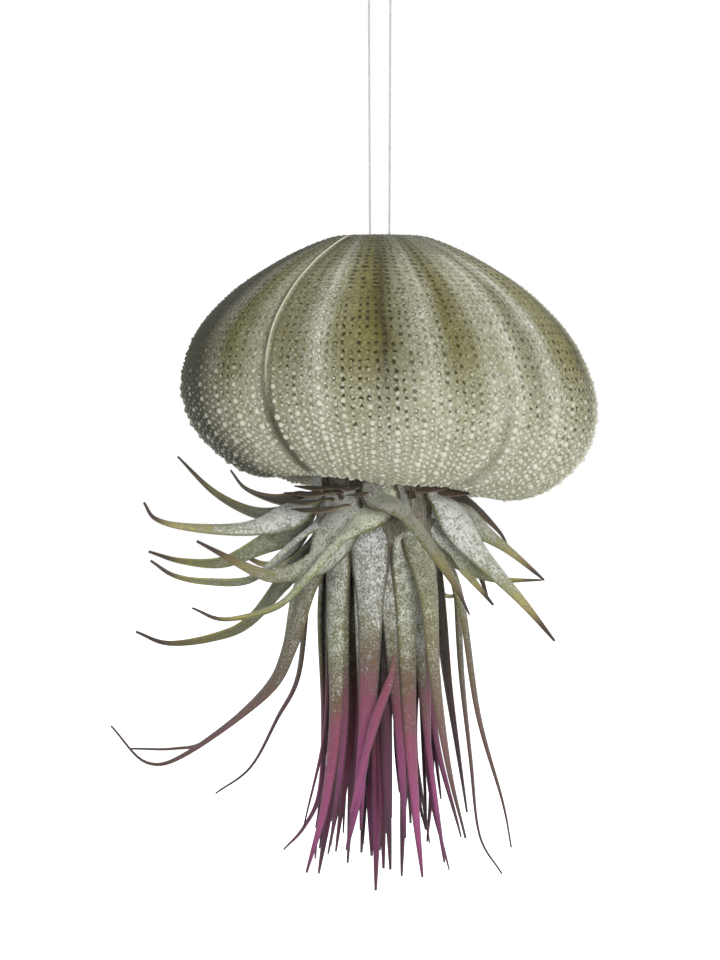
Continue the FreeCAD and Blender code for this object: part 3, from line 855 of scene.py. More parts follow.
def bead_places(number):
    """The angle, place down the profile, radius and rank of each tubercle of one lobe."""
    for start_run, end_run, count, spacing in ZONES:
        first = number * count // lobes
        for column in range(count // lobes):
            angle = 360 * (first + column + 0.5) / count + front_lobe - 180 / lobes
            run = start_run + spacing * (0.25 if column % 2 else 0.75)
            while run < end_run:
                own_run = run + seed.uniform(-bead_stray, bead_stray) * spacing
                own_angle = angle + seed.uniform(-bead_drift, bead_drift) * 360 / count
                main = column % 3 == 1 and (round(run / spacing) + column // 3) % 2 == 0
                rank = 1.0 if own_run < rank_start or main else small_rank
                size = float(np.interp(own_run, *zip(*BEAD_RADII)))
                size *= rank * seed.uniform(1 - bead_size_spread, 1 + bead_size_spread)
                run += spacing * (close_share if own_run > close_run else 1.0)
                gap = (1 - abs(float(lobe_place(own_angle - rib_lean)))) * math.radians(180 / lobes)
                if gap * float(profile_at(own_run)[0]) >= bead_clearance or own_run >= clearance_end:
                    yield own_angle, own_run, size, rank


def bead_points(angle, run, size):
    """The points of one bead: its rings from foot to crown, and its top."""
    tall = flat_bead + (tall_bead - flat_bead) * min(max(run - tall_start, 0) / tall_fade, 1)
    centre = on_shell(angle, run)
    normal = on_shell(angle, run, 1.0) - centre
    normal /= np.linalg.norm(normal)
    side = np.cross(normal, (0.0, 0.0, 1.0))
    side /= np.linalg.norm(side)
    other = np.cross(normal, side)
    points = []
    for spread, lift in BEAD_RINGS:
        for k in range(bead_sides):
            turn = 2 * math.pi * k / bead_sides
            flat = side * math.cos(turn) + other * math.sin(turn)
            points.append(centre + (flat * spread + normal * lift * tall) * size * mm)
    points.append(centre + normal * bead_top * tall * size * mm)
    return points


def bead_faces():
    """The faces of one bead: bands between its rings, and a fan at its top."""
    faces = []
    for ring in range(len(BEAD_RINGS) - 1):
        for k in range(bead_sides):
            a, b = ring * bead_sides + k, ring * bead_sides + (k + 1) % bead_sides
            faces.append((a, b, b + bead_sides, a + bead_sides))
    top = len(BEAD_RINGS) * bead_sides
    crown = top - bead_sides
    return faces + [(crown + k, crown + (k + 1) % bead_sides, top) for k in range(bead_sides)]


def tubercles(number):
    """All the tubercles of one lobe, as one mesh."""
    points, faces = [], []
    notes = {"band": [], "down": [], "dark": [], "streak": [], "tip": []}
    one_bead = bead_faces()
    for angle, run, size, rank in bead_places(number):
        base = len(points)
        points += bead_points(angle, run, size)
        faces += [tuple(base + corner for corner in face) for face in one_bead]
        each = len(points) - base
        notes["band"] += [float(lobe_place(angle - rib_lean)) / 2 + 0.5] * each
        notes["down"] += [run / outer_run] * each
        notes["dark"] += [float(side_tone_and_shade(angle))] * each
        notes["streak"] += [float(pale_streak(angle, run))] * each
        notes["tip"] += [rank * share for share in BEAD_PALE_SHARES for _ in range(bead_sides)] + [rank]
    made = link_mesh(f"tubercles_lobe_{number + 1}", points, faces)
    for name, values in notes.items():
        note(made, name, values)
    return made


bead, tree, shader = material("tubercle_lime", "c9c7b2", 0.7, Specular_IOR_Level=0.4)
creamy = smooth_range(tree, read_note(tree, "down"), 0.46, 0.62, 0.0, 0.80)
creamy = math_node(tree, "MULTIPLY", creamy, read_note(tree, "tip"))
tree.links.new(place_group(tree, test_colour, Paleness=creamy)["Colour"], shader.inputs["Base Color"])
tree.links.new(bump(tree, noise(tree, 3000, 3), 0.06 * mm), shader.inputs["Normal"])
for number in range(lobes):
    beads = tubercles(number)
    beads.data.materials.append(bead)
    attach(beads, "shell")
    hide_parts("urchin_shell")

# The stem: short, dry and brown inside the test, wedged in the test's mouth, and wrapped all the
# way down in the papery bases of old leaves that fell away.
mouth_clearance = 0.4
stem_above = 9.0
stem_below = 16.5
stem_top_radius = 7.0
stem_taper = 1.0
stem_end_height = mouth_height - stem_below
stem_sides = 96
stem_rows = 70
stem_cap_shares = (0.02, 0.35, 0.7, 0.95)
stem_inset = 0.22


def stem_radius(height):
    """The stem's radius at a height: a rounded crown in the test, and a slight taper below."""
    inside = np.clip((height - mouth_height) / stem_above, 0, 1)
    below = np.clip((mouth_height - height) / stem_below, 0, 1)
    widest = mouth_radius - mouth_clearance
    return widest - (widest - stem_top_radius) * inside**2 - stem_taper * below


stem_top_height = mouth_height + stem_above
cap_rings = len(stem_cap_shares)
heights = np.concatenate([
    np.full(cap_rings, stem_top_height),
    np.linspace(stem_top_height, stem_end_height, stem_rows),
    np.full(cap_rings, stem_end_height),
])
spread = np.ones(len(heights))
spread[:cap_rings] = stem_cap_shares
spread[-cap_rings:] = stem_cap_shares[::-1]
turns = np.linspace(0, 2 * np.pi, stem_sides, endpoint=False)
broad_folds = 0.10 * np.sin(turns * 11 + heights[:, None] * 0.35)
fine_folds = 0.08 * np.sin(turns * 23 - heights[:, None] * 0.8)
folds = (broad_folds + fine_folds) * spread[:, None]
radius = (stem_radius(heights) * spread)[:, None] - stem_inset + folds
stem_rings = [radius * np.cos(turns), radius * np.sin(turns), heights[:, None] + radius * 0]
stem_points = np.stack(stem_rings, axis=2).reshape(-1, 3) * mm
stem = link_mesh("stem_core", stem_points, ring_faces(len(heights), stem_sides))


def around(angle, radius, height):
    """A point in millimetres at an angle about the holder's axis."""
    turn = math.radians(angle)
    return np.array([radius * math.cos(turn), radius * math.sin(turn), height])


back_points = 11
front_points = 9
straight_share = 0.08
turned_share = 0.27
edge_thin_share = 0.22
curl_share = 0.45


def strap(name, route, widths, rolls, thicknesses, steps=8, twist=0.0, wave=0.0, lean=None):
    """A leaf swept along a route in millimetres.

    Widths, rolls and thicknesses are pairs of (share of the length, value); a roll is half the
    angle that the leaf curls through, with its convex back away from the plant's heart.
    """
    path = smooth_path(route, steps)
    runs = np.concatenate([[0], np.cumsum(np.linalg.norm(np.diff(path, axis=0), axis=1))])
    share = runs / runs[-1]
    outward = np.array([*route[-1][:2], 0]) if lean is None else np.array(lean, float)
    along, side, normal = carried_frames(path, np.cross(outward, (0, 0, 1.0)))
    turned = np.clip((share - straight_share) / turned_share, 0, 1)
    turn = twist * turned * turned * (3 - 2 * turned) + wave * np.sin(share * 9 + twist * 7) * turned
    across = side * np.cos(turn)[:, None] + normal * np.sin(turn)[:, None]
    normal = np.cross(along, across)
    width = np.interp(share, *zip(*widths))
    roll = np.radians(np.interp(share, *zip(*rolls)))
    thick = np.interp(share, *zip(*thicknesses))
    curl = width / 2 / np.sin(roll)
    points, notes = [], []
    for face, count in ((1, back_points), (-1, front_points)):
        for u in np.linspace(-1, 1, count)[::face]:
            if face < 0 and abs(u) == 1:
                continue
            bend = roll * u
            roundness = math.sqrt(max(1 - u * u, 0))
            half = thick / 2 * (edge_thin_share + (1 - edge_thin_share) * roundness)
            reach = (curl + face * half)[:, None]
            place = across * np.sin(bend)[:, None] * reach - normal * np.cos(bend)[:, None] * reach
            middle = normal * (curl * (curl_share + (1 - curl_share) * np.cos(roll)))[:, None]
            points.append(path + place + middle)
            notes.append((u, face > 0))
    rings = np.stack(points, axis=1)
    sides = rings.shape[1]
    made = link_mesh(name, rings.reshape(-1, 3) * mm, ring_faces(len(path), sides))
    note(made, "along", np.repeat(share, sides))
    note(made, "across", np.tile([u for u, _ in notes], len(path)))
    note(made, "back", np.tile([face for _, face in notes], len(path)))
    return made


papery, tree, shader = material("papery_base", "6b5a45", 0.85)
own_place = node(tree, "TexCoord").outputs["Object"]
drawn_out = node(tree, "Mapping", {"Vector": own_place, "Scale": (1, 1, 0.12)})
fibre = noise(tree, 1500, 5, drawn_out.outputs["Vector"])
browned = ramp(tree, fibre, [(0.25, "241a13"), (0.45, "4d3c2d"), (0.62, "7c6d57"), (0.80, "a79f8a")])
felt = noise(tree, 2100, 5, roughness=0.7)
felted = ramp(tree, felt, [(0.28, "5c5b40"), (0.48, "a8a996"), (0.66, "e4e4da")])
low = smooth_range(tree, read_note(tree, "along"), 0.95, 0.6)
felt_cover = math_node(tree, "MULTIPLY", read_note(tree, "felted"), low)
tree.links.new(mix(tree, felt_cover, browned, felted), shader.inputs["Base Color"])
tree.links.new(bump(tree, fibre, 0.25 * mm), shader.inputs["Normal"])
note(stem, "felted", np.zeros(len(stem.data.vertices)))

# The old bases lie over each other like scales, in rows that start under the stem's crown
scale_rows = 5
scales_a_row = 9
first_row_drop = 1.4
row_pitch = 4.2
scale_length = 7.4
scale_lifts = (0.02, 0.06, 0.10, 0.14, 0.20)
scale_sink = 0.05
scale_thickness = ((0, 0.2), (1, 0.15))
scale_turn_stray = 7
scale_top_stray = 0.7
scale_drift, scale_drift_run = 4, 7
scale_width_range = (7.6, 9.4)
crown_scale_width = 6.4
scale_hug_drop = 3
felt_share = 0.35
felt_start, felt_fade = 0.5, 2.5
scales = []
for row in range(scale_rows):
    for i in range(scales_a_row):
        angle = 360 * (i + 0.5 * (row % 2)) / scales_a_row
        angle += seed.uniform(-scale_turn_stray, scale_turn_stray)
        top = stem_top_height - first_row_drop - row * row_pitch
        top += seed.uniform(-scale_top_stray, scale_top_stray)
        drift = seed.uniform(-scale_drift, scale_drift)
        route = []
        for down, lift in zip(np.linspace(0, scale_length, len(scale_lifts)), scale_lifts):
            out = float(stem_radius(top - down)) - scale_sink + lift
            route.append(around(angle + drift * down / scale_drift_run, out, top - down))
        wide = seed.uniform(*scale_width_range) if row else crown_scale_width
        hug = math.degrees(math.asin(min(wide / 2 / float(stem_radius(top - scale_hug_drop)), 0.9)))
        widths = ((0, wide), (0.6, wide * 0.95), (0.9, wide * 0.55), (1, 0.8))
        rolls = ((0, hug), (1, hug))
        scale = strap(f"stem_scale_{row}_{i}", route, widths, rolls, scale_thickness, steps=4)
        point_heights = np.array([point.co.z for point in scale.data.vertices]) / mm
        below_test = np.clip((mouth_height + felt_start - point_heights) / felt_fade, 0, 1)
        note(scale, "felted", felt_share * below_test)
        scales.append(scale)
for piece in (stem, *scales):
    piece.data.materials.append(papery)
    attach(piece, "air_plant")
    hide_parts("plant_stem")

# The roots: five dry wiry roots on top of the stem, hidden in the hollow of the test. They are
# kinked, thinner toward their ends, and brown with paler scurf.
root_radius = 0.55
root_rise = 8.0
root_spread = 9.0
root_kink = 0.22
ROOT_ANGLES = (20, 95, 170, 235, 310)
ROOT_BENDS = (
    (3.5, -0.8),
    (3.5, 1.2),
    (3.6, 3.2),
    (4.4, 5.3),
    (6.2, 7.0),
    (7.8, 8.0),
    (root_spread, root_rise),
)
wiry, tree, shader = material("root_fibre", "5a4634", 0.8)
root_scurf = noise(tree, 1800, 4)
root_tones = ramp(tree, root_scurf, [(0.3, "33261b"), (0.6, "6d5640"), (0.85, "98836a")])
tree.links.new(root_tones, shader.inputs["Base Color"])
tree.links.new(bump(tree, root_scurf, 0.1 * mm), shader.inputs["Normal"])
for i, angle in enumerate(ROOT_ANGLES):
    route = []
    for k, (out, up) in enumerate(ROOT_BENDS):
        kink = root_kink if 0 < k < len(ROOT_BENDS) - 1 else 0
        shove = np.array([seed.uniform(-kink, kink), seed.uniform(-kink, kink), 0])
        route.append(around(angle, out, stem_top_height + up) + shove)
    path = smooth_path(route, 6)
    share = np.linspace(0, 1, len(path))
    radii = root_radius * (1.0 - 0.25 * share + 0.10 * np.sin(share * 31 + i))
    root = round_bar(f"dry_root_{i + 1}", path * mm, radii * mm, 12, across=(0.3, 0.9, 0.1))
    root.data.materials.append(wiry)
    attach(root, "air_plant")
    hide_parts("dry_roots")

# The spreading leaves: the oldest ones, bent outward from the stem, and most of them up at their
# tips. Each has a broad felted base that clasps the stem, and a channel that faces down.
plant_reach = 84.0
plant_pixels = 180.8
leaf_scale = plant_reach / plant_pixels
leaf_width = 5.0
tip_width = 0.42
spreading_power = 1.15
drooping_power = 1.35
base_flare_run = 8.0
side_width_gain = 1.3
side_base_share = 0.85
clasp_gap = 0.1
clasp_radius = mouth_radius - mouth_clearance + clasp_gap
mouth_gap = 0.35
clasp_swell = 0.85
clasp_sink = 0.15
clasp_lean = 0.13
root_tuck = 2.2
spreading_clasp = 6.0
broad_base, narrow_base = 10.5, 6.5
spreading_roll = 62

# Side leaves: width share, root as an angle and a share down the stem, and points as an angle,
# photograph pixels out and photograph pixels below the mouth
SPREADING_LEAVES = (
    (0.84, (168, 0.25), ((168, 38, 16), (168, 49, 17.5), (168, 62, 14.5), (168, 76, 6.5), (168, 91, -8))),
    (0.50, (146, 0.24), ((146, 40, 11), (146, 57, 10.5), (146, 72, 6), (146, 80, -2))),
    (0.84, (192, 0.30), ((191, 45, 19.5), (190, 62, 23.5), (190, 86, 22.5), (190, 99, 19), (190, 104, 12))),
    (0.90, (181, 0.46), ((183, 36, 22), (184, 52, 30.5), (184, 69, 38), (184, 87, 37.5), (184, 101, 33.5))),
    (0.84, (204, 0.60), ((203, 46, 35.5), (203, 61, 45.5), (203, 81, 46), (203, 96, 43.5), (203, 107, 37))),
    (0.88, (233, 0.55), ((229, 36, 34), (224, 42, 39.5), (218, 53, 43), (215, 64, 42), (209, 90, 28.5))),
    (1.20, (266, 0.42), ((244, 37, 28), (230, 50, 46), (224, 62, 57), (218, 84, 62), (216, 99, 57))),
    (0.86, (189, 0.76), ((191, 41, 43.5), (192, 58, 63.5), (192, 74, 70.5), (192, 94, 73), (192, 108, 68))),
    (1.20, (274, 0.22), ((284, 35, 15), (296, 45, 28), (304, 55, 45), (308, 62, 60))),
    (1.10, (334, 0.27), ((332, 34, 14), (332, 45, 30.5), (332, 69, 54), (332, 85, 71.5))),
    (0.80, (356, 0.36), ((355, 36, 18), (355, 56, 32.5), (355, 72, 46))),
    (0.84, (12, 0.66), ((12, 36, 36.5), (12, 52, 45.5), (12, 73, 46.5))),
    (0.44, (26, 0.22), ((25, 33, 8.5), (25, 44, 13), (25, 58, 25), (25, 63, 33))),
    (0.56, (338, 0.66), ((338, 36, 32), (338, 41, 42.5), (338, 53, 56.5))),
    (0.84, (52, 0.28), ((50, 40, 17), (46, 54, 30), (45, 62, 42), (45, 68, 54))),
    (0.90, (80, 0.24), ((80, 40, 15), (82, 60, 19), (84, 80, 15), (86, 95, 4))),
    (0.84, (110, 0.27), ((110, 40, 18), (108, 62, 24), (106, 84, 24), (105, 98, 17))),
    (0.80, (130, 0.50), ((130, 38, 27), (131, 56, 37), (132, 76, 40), (133, 92, 35))),
    (0.84, (95, 0.60), ((95, 38, 32), (94, 56, 45), (93, 74, 50), (92, 90, 47))),
    (0.80, (66, 0.58), ((66, 38, 32), (66, 54, 46), (65, 70, 54), (64, 84, 54))),
)


def leaf_widths(full, base, clasp_run, length, power):
    """Widths from a broad clasping base through a long taper to a thread of a tip."""
    widths = [(0, base * side_base_share)]
    for share in np.linspace(clasp_run / length, 1, 16):
        left = 1 - (share * length - clasp_run) / (length - clasp_run)
        flare = (base - full) * math.exp(-(((share * length - clasp_run) / base_flare_run) ** 2))
        widths.append((float(share), tip_width + (full - tip_width) * max(left, 0) ** power + flare))
    return widths


def side_leaf(name, row, clasp_run, base, rolled, twist, power):
    """A leaf of the stem's side: a base that clasps the stem, a bend, and the free leaf."""
    width_share, (root_angle, down), places = row
    root_height = mouth_height - down * stem_below
    clasp = clasp_radius + clasp_swell * (1 - down) - stem_taper * down
    top = min(root_height + clasp_run, mouth_height - mouth_gap)
    bend_run = (top - root_height + root_tuck) / 3
    route = []
    for k in range(3):
        route.append(around(root_angle, clasp - clasp_sink + clasp_lean * k * k, top - bend_run * k))
    for angle, out, drop in places:
        route.append(around(angle, out * leaf_scale, mouth_height - drop * leaf_scale))
    length = sum(np.linalg.norm(b - a) for a, b in zip(route, route[1:]))
    clasped = 2 * bend_run + 1.0
    hug = math.degrees(math.asin(base / 2 / clasp))
    free, opened = clasped / length, (clasped + 9) / length
    rolls = ((0, hug), (free, hug), (opened, rolled * 0.75), (0.6, rolled), (1, 80))
    thick = ((0, 0.35), (free, 0.7), ((clasped + 6) / length, 1.05), (1, 0.3))
    widths = leaf_widths(leaf_width * width_share * side_width_gain, base, clasped, length, power)
    wave = seed.uniform(-0.15, 0.15)
    return strap(name, route, widths, rolls, thick, 8, twist, wave, route[3] * (1, 1, 0))


# The felt of all the leaves, a group: silver scurf over a green or purple ground, in fine flecks
# that thin out where Cover falls
group, given, result = node_group(
    "leaf_felt",
    [
        ("Ground", "Color", (0.2, 0.2, 0.1, 1)),
        ("Scurf", "Color", (0.6, 0.6, 0.5, 1)),
        ("Cover", "Float", 0.6),
    ],
    [("Colour", "Color"), ("Height", "Float")],
)
flecks = noise(group, 2300, 4, roughness=0.75)
patches = math_node(group, "SUBTRACT", noise(group, 420, 3), 2.4)
amount = math_node(group, "MULTIPLY_ADD", flecks, 3.4, patches)
amount = math_node(group, "ADD", amount, math_node(group, "MULTIPLY_ADD", given["Cover"], 1.6, -0.35))
amount = smooth_range(group, amount, 0.0, 0.8)
group.links.new(mix(group, amount, given["Ground"], given["Scurf"]), result["Colour"])
group.links.new(amount, result["Height"])
leaf_felt = group


def leaf_material(name, ground, hollow_shade, scurf, cover, margin, dry_from=0.86, dry="3a2a22"):
    """A felted leaf: its ground by place along it, with painted shade on its hollow face, and dry at the
    tip.
    """
    made, tree, shader = material(name, "808060", 0.72, Sheen_Weight=0.25, Sheen_Roughness=0.6)
    along = read_note(tree, "along")
    tone = read_note(tree, "tone")
    shifted = math_node(tree, "ADD", along, math_node(tree, "MULTIPLY_ADD", tone, -0.16, 0.09))
    wander = math_node(tree, "MULTIPLY_ADD", noise(tree, 160, 2), 0.16, -0.08)
    shifted = math_node(tree, "ADD", shifted, wander)
    across = math_node(tree, "ABSOLUTE", read_note(tree, "across"))
    edge = smooth_range(tree, across, 0.62, 0.98)
    at_margin = smooth_range(tree, across, 0.80, 1.0)
    browned = math_node(tree, "MULTIPLY", at_margin, smooth_range(tree, along, 0.30, 0.08))
    crosswise = math_node(tree, "MULTIPLY", read_note(tree, "across"), 5.0)
    places = node(tree, "CombineXYZ", {0: crosswise, 1: along, 2: tone})
    streaks = noise(tree, 2.2, 3, places.outputs[0])
    body = ramp(tree, shifted, ground)
    body = mix(tree, math_node(tree, "MULTIPLY", edge, 0.7), body, ramp(tree, shifted, margin))
    body = mix(tree, smooth_range(tree, streaks, 0.45, 0.66, 0.0, 0.35), body, tint("45422a"))
    covering = math_node(tree, "ADD", ramp(tree, shifted, cover), math_node(tree, "MULTIPLY", edge, -0.22))
    covering = math_node(tree, "SUBTRACT", covering, math_node(tree, "MULTIPLY", browned, 0.7))
    body = mix(tree, browned, body, tint("4a3827"))
    felt = place_group(tree, leaf_felt, Ground=body, Scurf=ramp(tree, shifted, scurf), Cover=covering)
    # Painted shade: the hollow face, which looks at the plant's heart, goes half way to the dark hollow
    # colours
    shaded_face_share = math_node(tree, "SUBTRACT", 1.0, read_note(tree, "back"))
    shaded_face_share = math_node(tree, "MULTIPLY", shaded_face_share, 0.5)
    colour = mix(tree, shaded_face_share, felt["Colour"], ramp(tree, shifted, hollow_shade))
    # Each leaf's tone darkens it: a tone that differs at random from leaf to leaf, and painted shade on the
    # leaves deep in the heart, which get the lowest tones
    tone_and_heart_shade = ramp(tree, tone, [(0.0, "625c58"), (0.35, "d4d2ca"), (0.8, "ffffff")])
    colour = mix(tree, 1.0, colour, tone_and_heart_shade, "MULTIPLY")
    greener = math_node(tree, "SINE", math_node(tree, "MULTIPLY", tone, 40.0))
    greener = smooth_range(tree, greener, 0.1, 1.0, 0.0, 0.6)
    colour = mix(tree, greener, colour, tint("ecefc6"), "MULTIPLY")
    dried = smooth_range(tree, along, dry_from, dry_from + 0.08)
    colour = mix(tree, math_node(tree, "MULTIPLY", dried, 0.85), colour, tint(dry))
    tree.links.new(colour, shader.inputs["Base Color"])
    height = math_node(tree, "MULTIPLY_ADD", streaks, 0.6, felt["Height"])
    tree.links.new(bump(tree, height, 0.16 * mm), shader.inputs["Normal"])
    return made


silver_leaf = leaf_material(
    "silver_leaf",
    ground=[(0.0, "959580"), (0.2, "a2a77e"), (0.5, "b2b876"), (0.74, "bdb472"), (0.92, "6e503c")],
    hollow_shade=[(0.0, "4a4a30"), (0.3, "474f28"), (0.8, "4c4a26"), (1.0, "3a2a1e")],
    scurf=[(0.0, "f7f8f7"), (0.5, "ecefe4"), (0.9, "c6bea6")],
    cover=[(0.0, "e9e9e9"), (0.35, "e5e5e5"), (0.6, "cacaca"), (0.9, "646464")],
    margin=[(0.0, "8d8b5a"), (0.4, "a9b058"), (0.8, "a2984c"), (1.0, "52392a")],
    dry_from=0.84,
)
dried_leaf = leaf_material(
    "dried_leaf",
    ground=[(0.0, "3b2c20"), (0.4, "574230"), (0.8, "4b3828"), (1.0, "2f231b")],
    hollow_shade=[(0.0, "231a13"), (0.5, "2e2218"), (1.0, "211812")],
    scurf=[(0.0, "dcd8ca"), (0.5, "c4b89e"), (1.0, "94806a")],
    cover=[(0.0, "8a8a8a"), (0.4, "8c8c8c"), (0.9, "505050")],
    margin=[(0.0, "8f7a5c"), (0.5, "b8a27e"), (1.0, "4a3626")],
)


def dress(leaf, name, number, look, palest=1.0, darkest=0.25):
    """Give a leaf its tone and material, and put it in place of its solid."""
    note(leaf, "tone", np.full(len(leaf.data.vertices), seed.uniform(darkest, palest)))
    leaf.data.materials.append(look)
    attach(leaf, "air_plant")
    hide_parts(f"{name}_{number:02d}")


for i, row in enumerate(SPREADING_LEAVES, 1):
    name = f"spreading_leaf_blade_{i:02d}"
    base = broad_base if row[0] > 0.6 else narrow_base
    look = dried_leaf if row[0] < 0.55 else silver_leaf
    twist = seed.uniform(0.45, 0.95) * (1 if i % 3 else -1)
    leaf = side_leaf(name, row, spreading_clasp, base, spreading_roll, twist, spreading_power)
    dress(leaf, "spreading_leaf", i, look)

# Narrow dried leaves left between the bases, close under the test: angle and pixels below the
# mouth at the stem, then the same at the tip
DRIED_LEAVES = (
    (240, 5, 204, 8.5),
    (247, 4, 208, 5),
    (232, 12, 203, 15),
    (228, 8, 196, 12),
    (213, 5, 186, 8),
    (250, 10, 214, 16),
    (258, 3, 243, 6),
    (266, 4, 250, 9),
    (300, 3, 318, 5),
    (318, 3, 340, 8),
    (60, 6, 46, 15),
    (102, 6, 118, 11),
    (140, 7, 156, 9),
)
dried_out = (26.5, 29.5, 35, 42)
dried_sag = 1.5
dried_seat = 0.3
DRIED_WIDTHS = ((0, 3.0), (0.45, 2.3), (0.8, 1.3), (1, 0.4))
DRIED_ROLLS = ((0, 25), (1, 70))
DRIED_THICKNESS = ((0, 0.5), (1, 0.25))
for i, (root_angle, root_drop, tip_angle, tip_drop) in enumerate(DRIED_LEAVES, 1):
    route = [around(root_angle, clasp_radius + dried_seat, mouth_height - (root_drop - 4) * leaf_scale)]
    for k, out in enumerate(dried_out):
        share = (k + 0.6) / (len(dried_out) - 0.4)
        angle = root_angle + (tip_angle - root_angle) * share
        drop = root_drop + (tip_drop - root_drop) * share + dried_sag * math.sin(share * math.pi)
        route.append(around(angle, out * leaf_scale, mouth_height - drop * leaf_scale))
    leaf = strap(f"dried_leaf_{i}", route, DRIED_WIDTHS, DRIED_ROLLS, DRIED_THICKNESS, 8, 0.6, 0.3)
    note(leaf, "tone", np.full(len(leaf.data.vertices), seed.uniform(0.2, 1.0)))
    leaf.data.materials.append(dried_leaf)
    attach(leaf, "air_plant")
    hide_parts("plant_stem")

# The drooping leaves: longer and younger, from lower on the stem, hanging round the heart. They
# turn from silver through olive to plum, and their tips have dried to brown threads.
DROOPING_LEAVES = (
    (
        0.90,
        (212, 0.92),
        ((208, 36, 50), (201, 42, 75), (200, 53, 95), (200, 88, 120), (200, 107, 124), (200, 123, 108)),
    ),
    (
        0.90,
        (174, 0.92),
        ((176, 36, 50), (178, 41, 76), (178, 50, 94), (178, 75, 116), (178, 90, 120), (178, 109, 120)),
    ),
    (0.84, (151, 0.92), ((154, 34, 52), (158, 38, 88), (158, 48, 107), (158, 61, 129), (158, 78, 141))),
    (0.90, (308, 0.92), ((309, 34, 52), (310, 37, 86), (310, 46, 126), (310, 57, 156))),
    (0.96, (6, 0.92), ((8, 33, 50), (8, 36, 90), (8, 40, 126), (8, 44, 158), (8, 54, 175))),
    (0.90, (342, 0.92), ((344, 36, 54), (345, 44, 104), (345, 55, 142), (345, 59, 162))),
    (0.90, (40, 0.92), ((42, 35, 54), (45, 43, 92), (46, 50, 122), (46, 56, 150))),
    (0.90, (76, 0.92), ((76, 35, 54), (76, 43, 92), (76, 52, 128), (76, 58, 156))),
    (0.90, (116, 0.92), ((116, 35, 54), (112, 44, 88), (108, 56, 118), (106, 68, 140))),
)
olive_leaf = leaf_material(
    "olive_leaf",
    ground=[(0.0, "8b8b74"), (0.22, "8c8c60"), (0.42, "7f6f58"), (0.65, "805a60"), (0.9, "5c403c")],
    hollow_shade=[(0.0, "45452e"), (0.3, "3a3222"), (0.7, "3b2326"), (1.0, "2e1f1c")],
    scurf=[(0.0, "ecece4"), (0.3, "dcdbc9"), (0.6, "c0b4aa"), (1.0, "a39087")],
    cover=[(0.0, "e0e0e0"), (0.3, "cacaca"), (0.6, "9c9c9c"), (0.95, "505050")],
    margin=[(0.0, "7c7a52"), (0.3, "85804a"), (0.5, "6a5038"), (0.8, "6a3c46"), (1.0, "3f2a26")],
    dry_from=0.9,
)
drooping_clasp = 9.0
drooping_base = 8.0
drooping_roll = 52
for i, row in enumerate(DROOPING_LEAVES, 1):
    name = f"drooping_leaf_blade_{i:02d}"
    twist = seed.uniform(-0.5, 0.5)
    leaf = side_leaf(name, row, drooping_clasp, drooping_base, drooping_roll, twist, drooping_power)
    dress(leaf, "drooping_leaf", i, olive_leaf)

# The ring leaves: the plant's heart, three rings of straps that hang straight down. They are
# silver at the top, olive and brown in the middle, and flush purple before the plant flowers.

# Rings: name, radius, width share, and each leaf's points as an angle, photograph pixels out and
# photograph pixels below the mouth
RINGS = (
    (
        "outer_ring_leaf",
        10.0,
        1.26,
        (
            ((20, 24, 62), (20, 24, 105), (20, 24, 138), (20, 22, 161)),
            ((60, 24, 62), (60, 24, 105), (60, 22, 138), (60, 19, 162)),
            ((100, 24, 62), (100, 24, 105), (100, 23, 138), (100, 20, 168)),
            ((140, 24, 62), (140, 25, 105), (140, 29, 145), (140, 35, 176)),
            ((180, 25, 62), (180, 24, 105), (180, 26, 138), (180, 33, 154), (180, 42, 164)),
            ((220, 25, 62), (220, 25, 105), (220, 31, 142), (221, 42, 172)),
            ((260, 24, 62), (257, 25, 105), (250, 28, 138), (245, 34, 162)),
            ((300, 24, 62), (301, 25, 105), (303, 28, 142), (305, 32, 174)),
            ((338, 23, 62), (333, 23, 105), (334, 25, 140), (340, 32, 172)),
        ),
    ),
    (
        "middle_ring_leaf",
        5.4,
        0.98,
        (
            ((30, 13, 62), (30, 13, 105), (30, 12, 158)),
            ((90, 13, 62), (90, 13, 105), (90, 11, 165)),
            ((150, 13, 62), (150, 13, 105), (150, 16, 166)),
            ((210, 13, 62), (210, 14, 105), (210, 22, 164)),
            ((270, 13, 62), (268, 13, 105), (262, 13, 180.8)),
            ((330, 13, 62), (330, 13, 105), (330, 11, 175)),
        ),
    ),
    (
        "heart_ring_leaf",
        1.9,
        0.52,
        (
            ((0, 4, 80), (0, 5, 150)),
            ((120, 4, 80), (120, 5, 155)),
            ((240, 4, 80), (240, 6, 158)),
        ),
    ),
)
purple_leaf = leaf_material(
    "purple_leaf",
    ground=[
        (0.0, "94957c"),
        (0.28, "8c8e58"),
        (0.44, "775a48"),
        (0.56, "98486a"),
        (0.80, "aa4a8c"),
        (0.96, "742e60"),
    ],
    hollow_shade=[(0.0, "34331f"), (0.4, "33281c"), (0.62, "4a2438"), (1.0, "38182b")],
    scurf=[(0.0, "f8f8fa"), (0.4, "e8e8e0"), (0.62, "e0c4da"), (0.82, "e4c4e2"), (1.0, "bc90b4")],
    cover=[(0.0, "e2e2e2"), (0.28, "d2d2d2"), (0.46, "a0a0a0"), (0.60, "747474"), (1.0, "505050")],
    margin=[(0.0, "6a6848"), (0.32, "6d6c40"), (0.48, "4a3629"), (0.64, "66304e"), (1.0, "45203a")],
    dry_from=0.95,
    dry="4b2a3c",
)
ring_width_gain = 0.94
ring_power = 0.82
ring_base = 8.3
ring_clasp = 8.0
clasping_radius = 9

# How the bases run beside the stem, or hang from its end: heights over the stem's end
CLASP_RISES = (9.5, 6, 2.5)
HEART_RISES = (0.6, -2.0, -5.0)
ring_gap = 0.1
ring_tuck, ring_tuck_drop = 0.5, 2.5
heart_base_share, heart_clasp = 1.05, 3.0


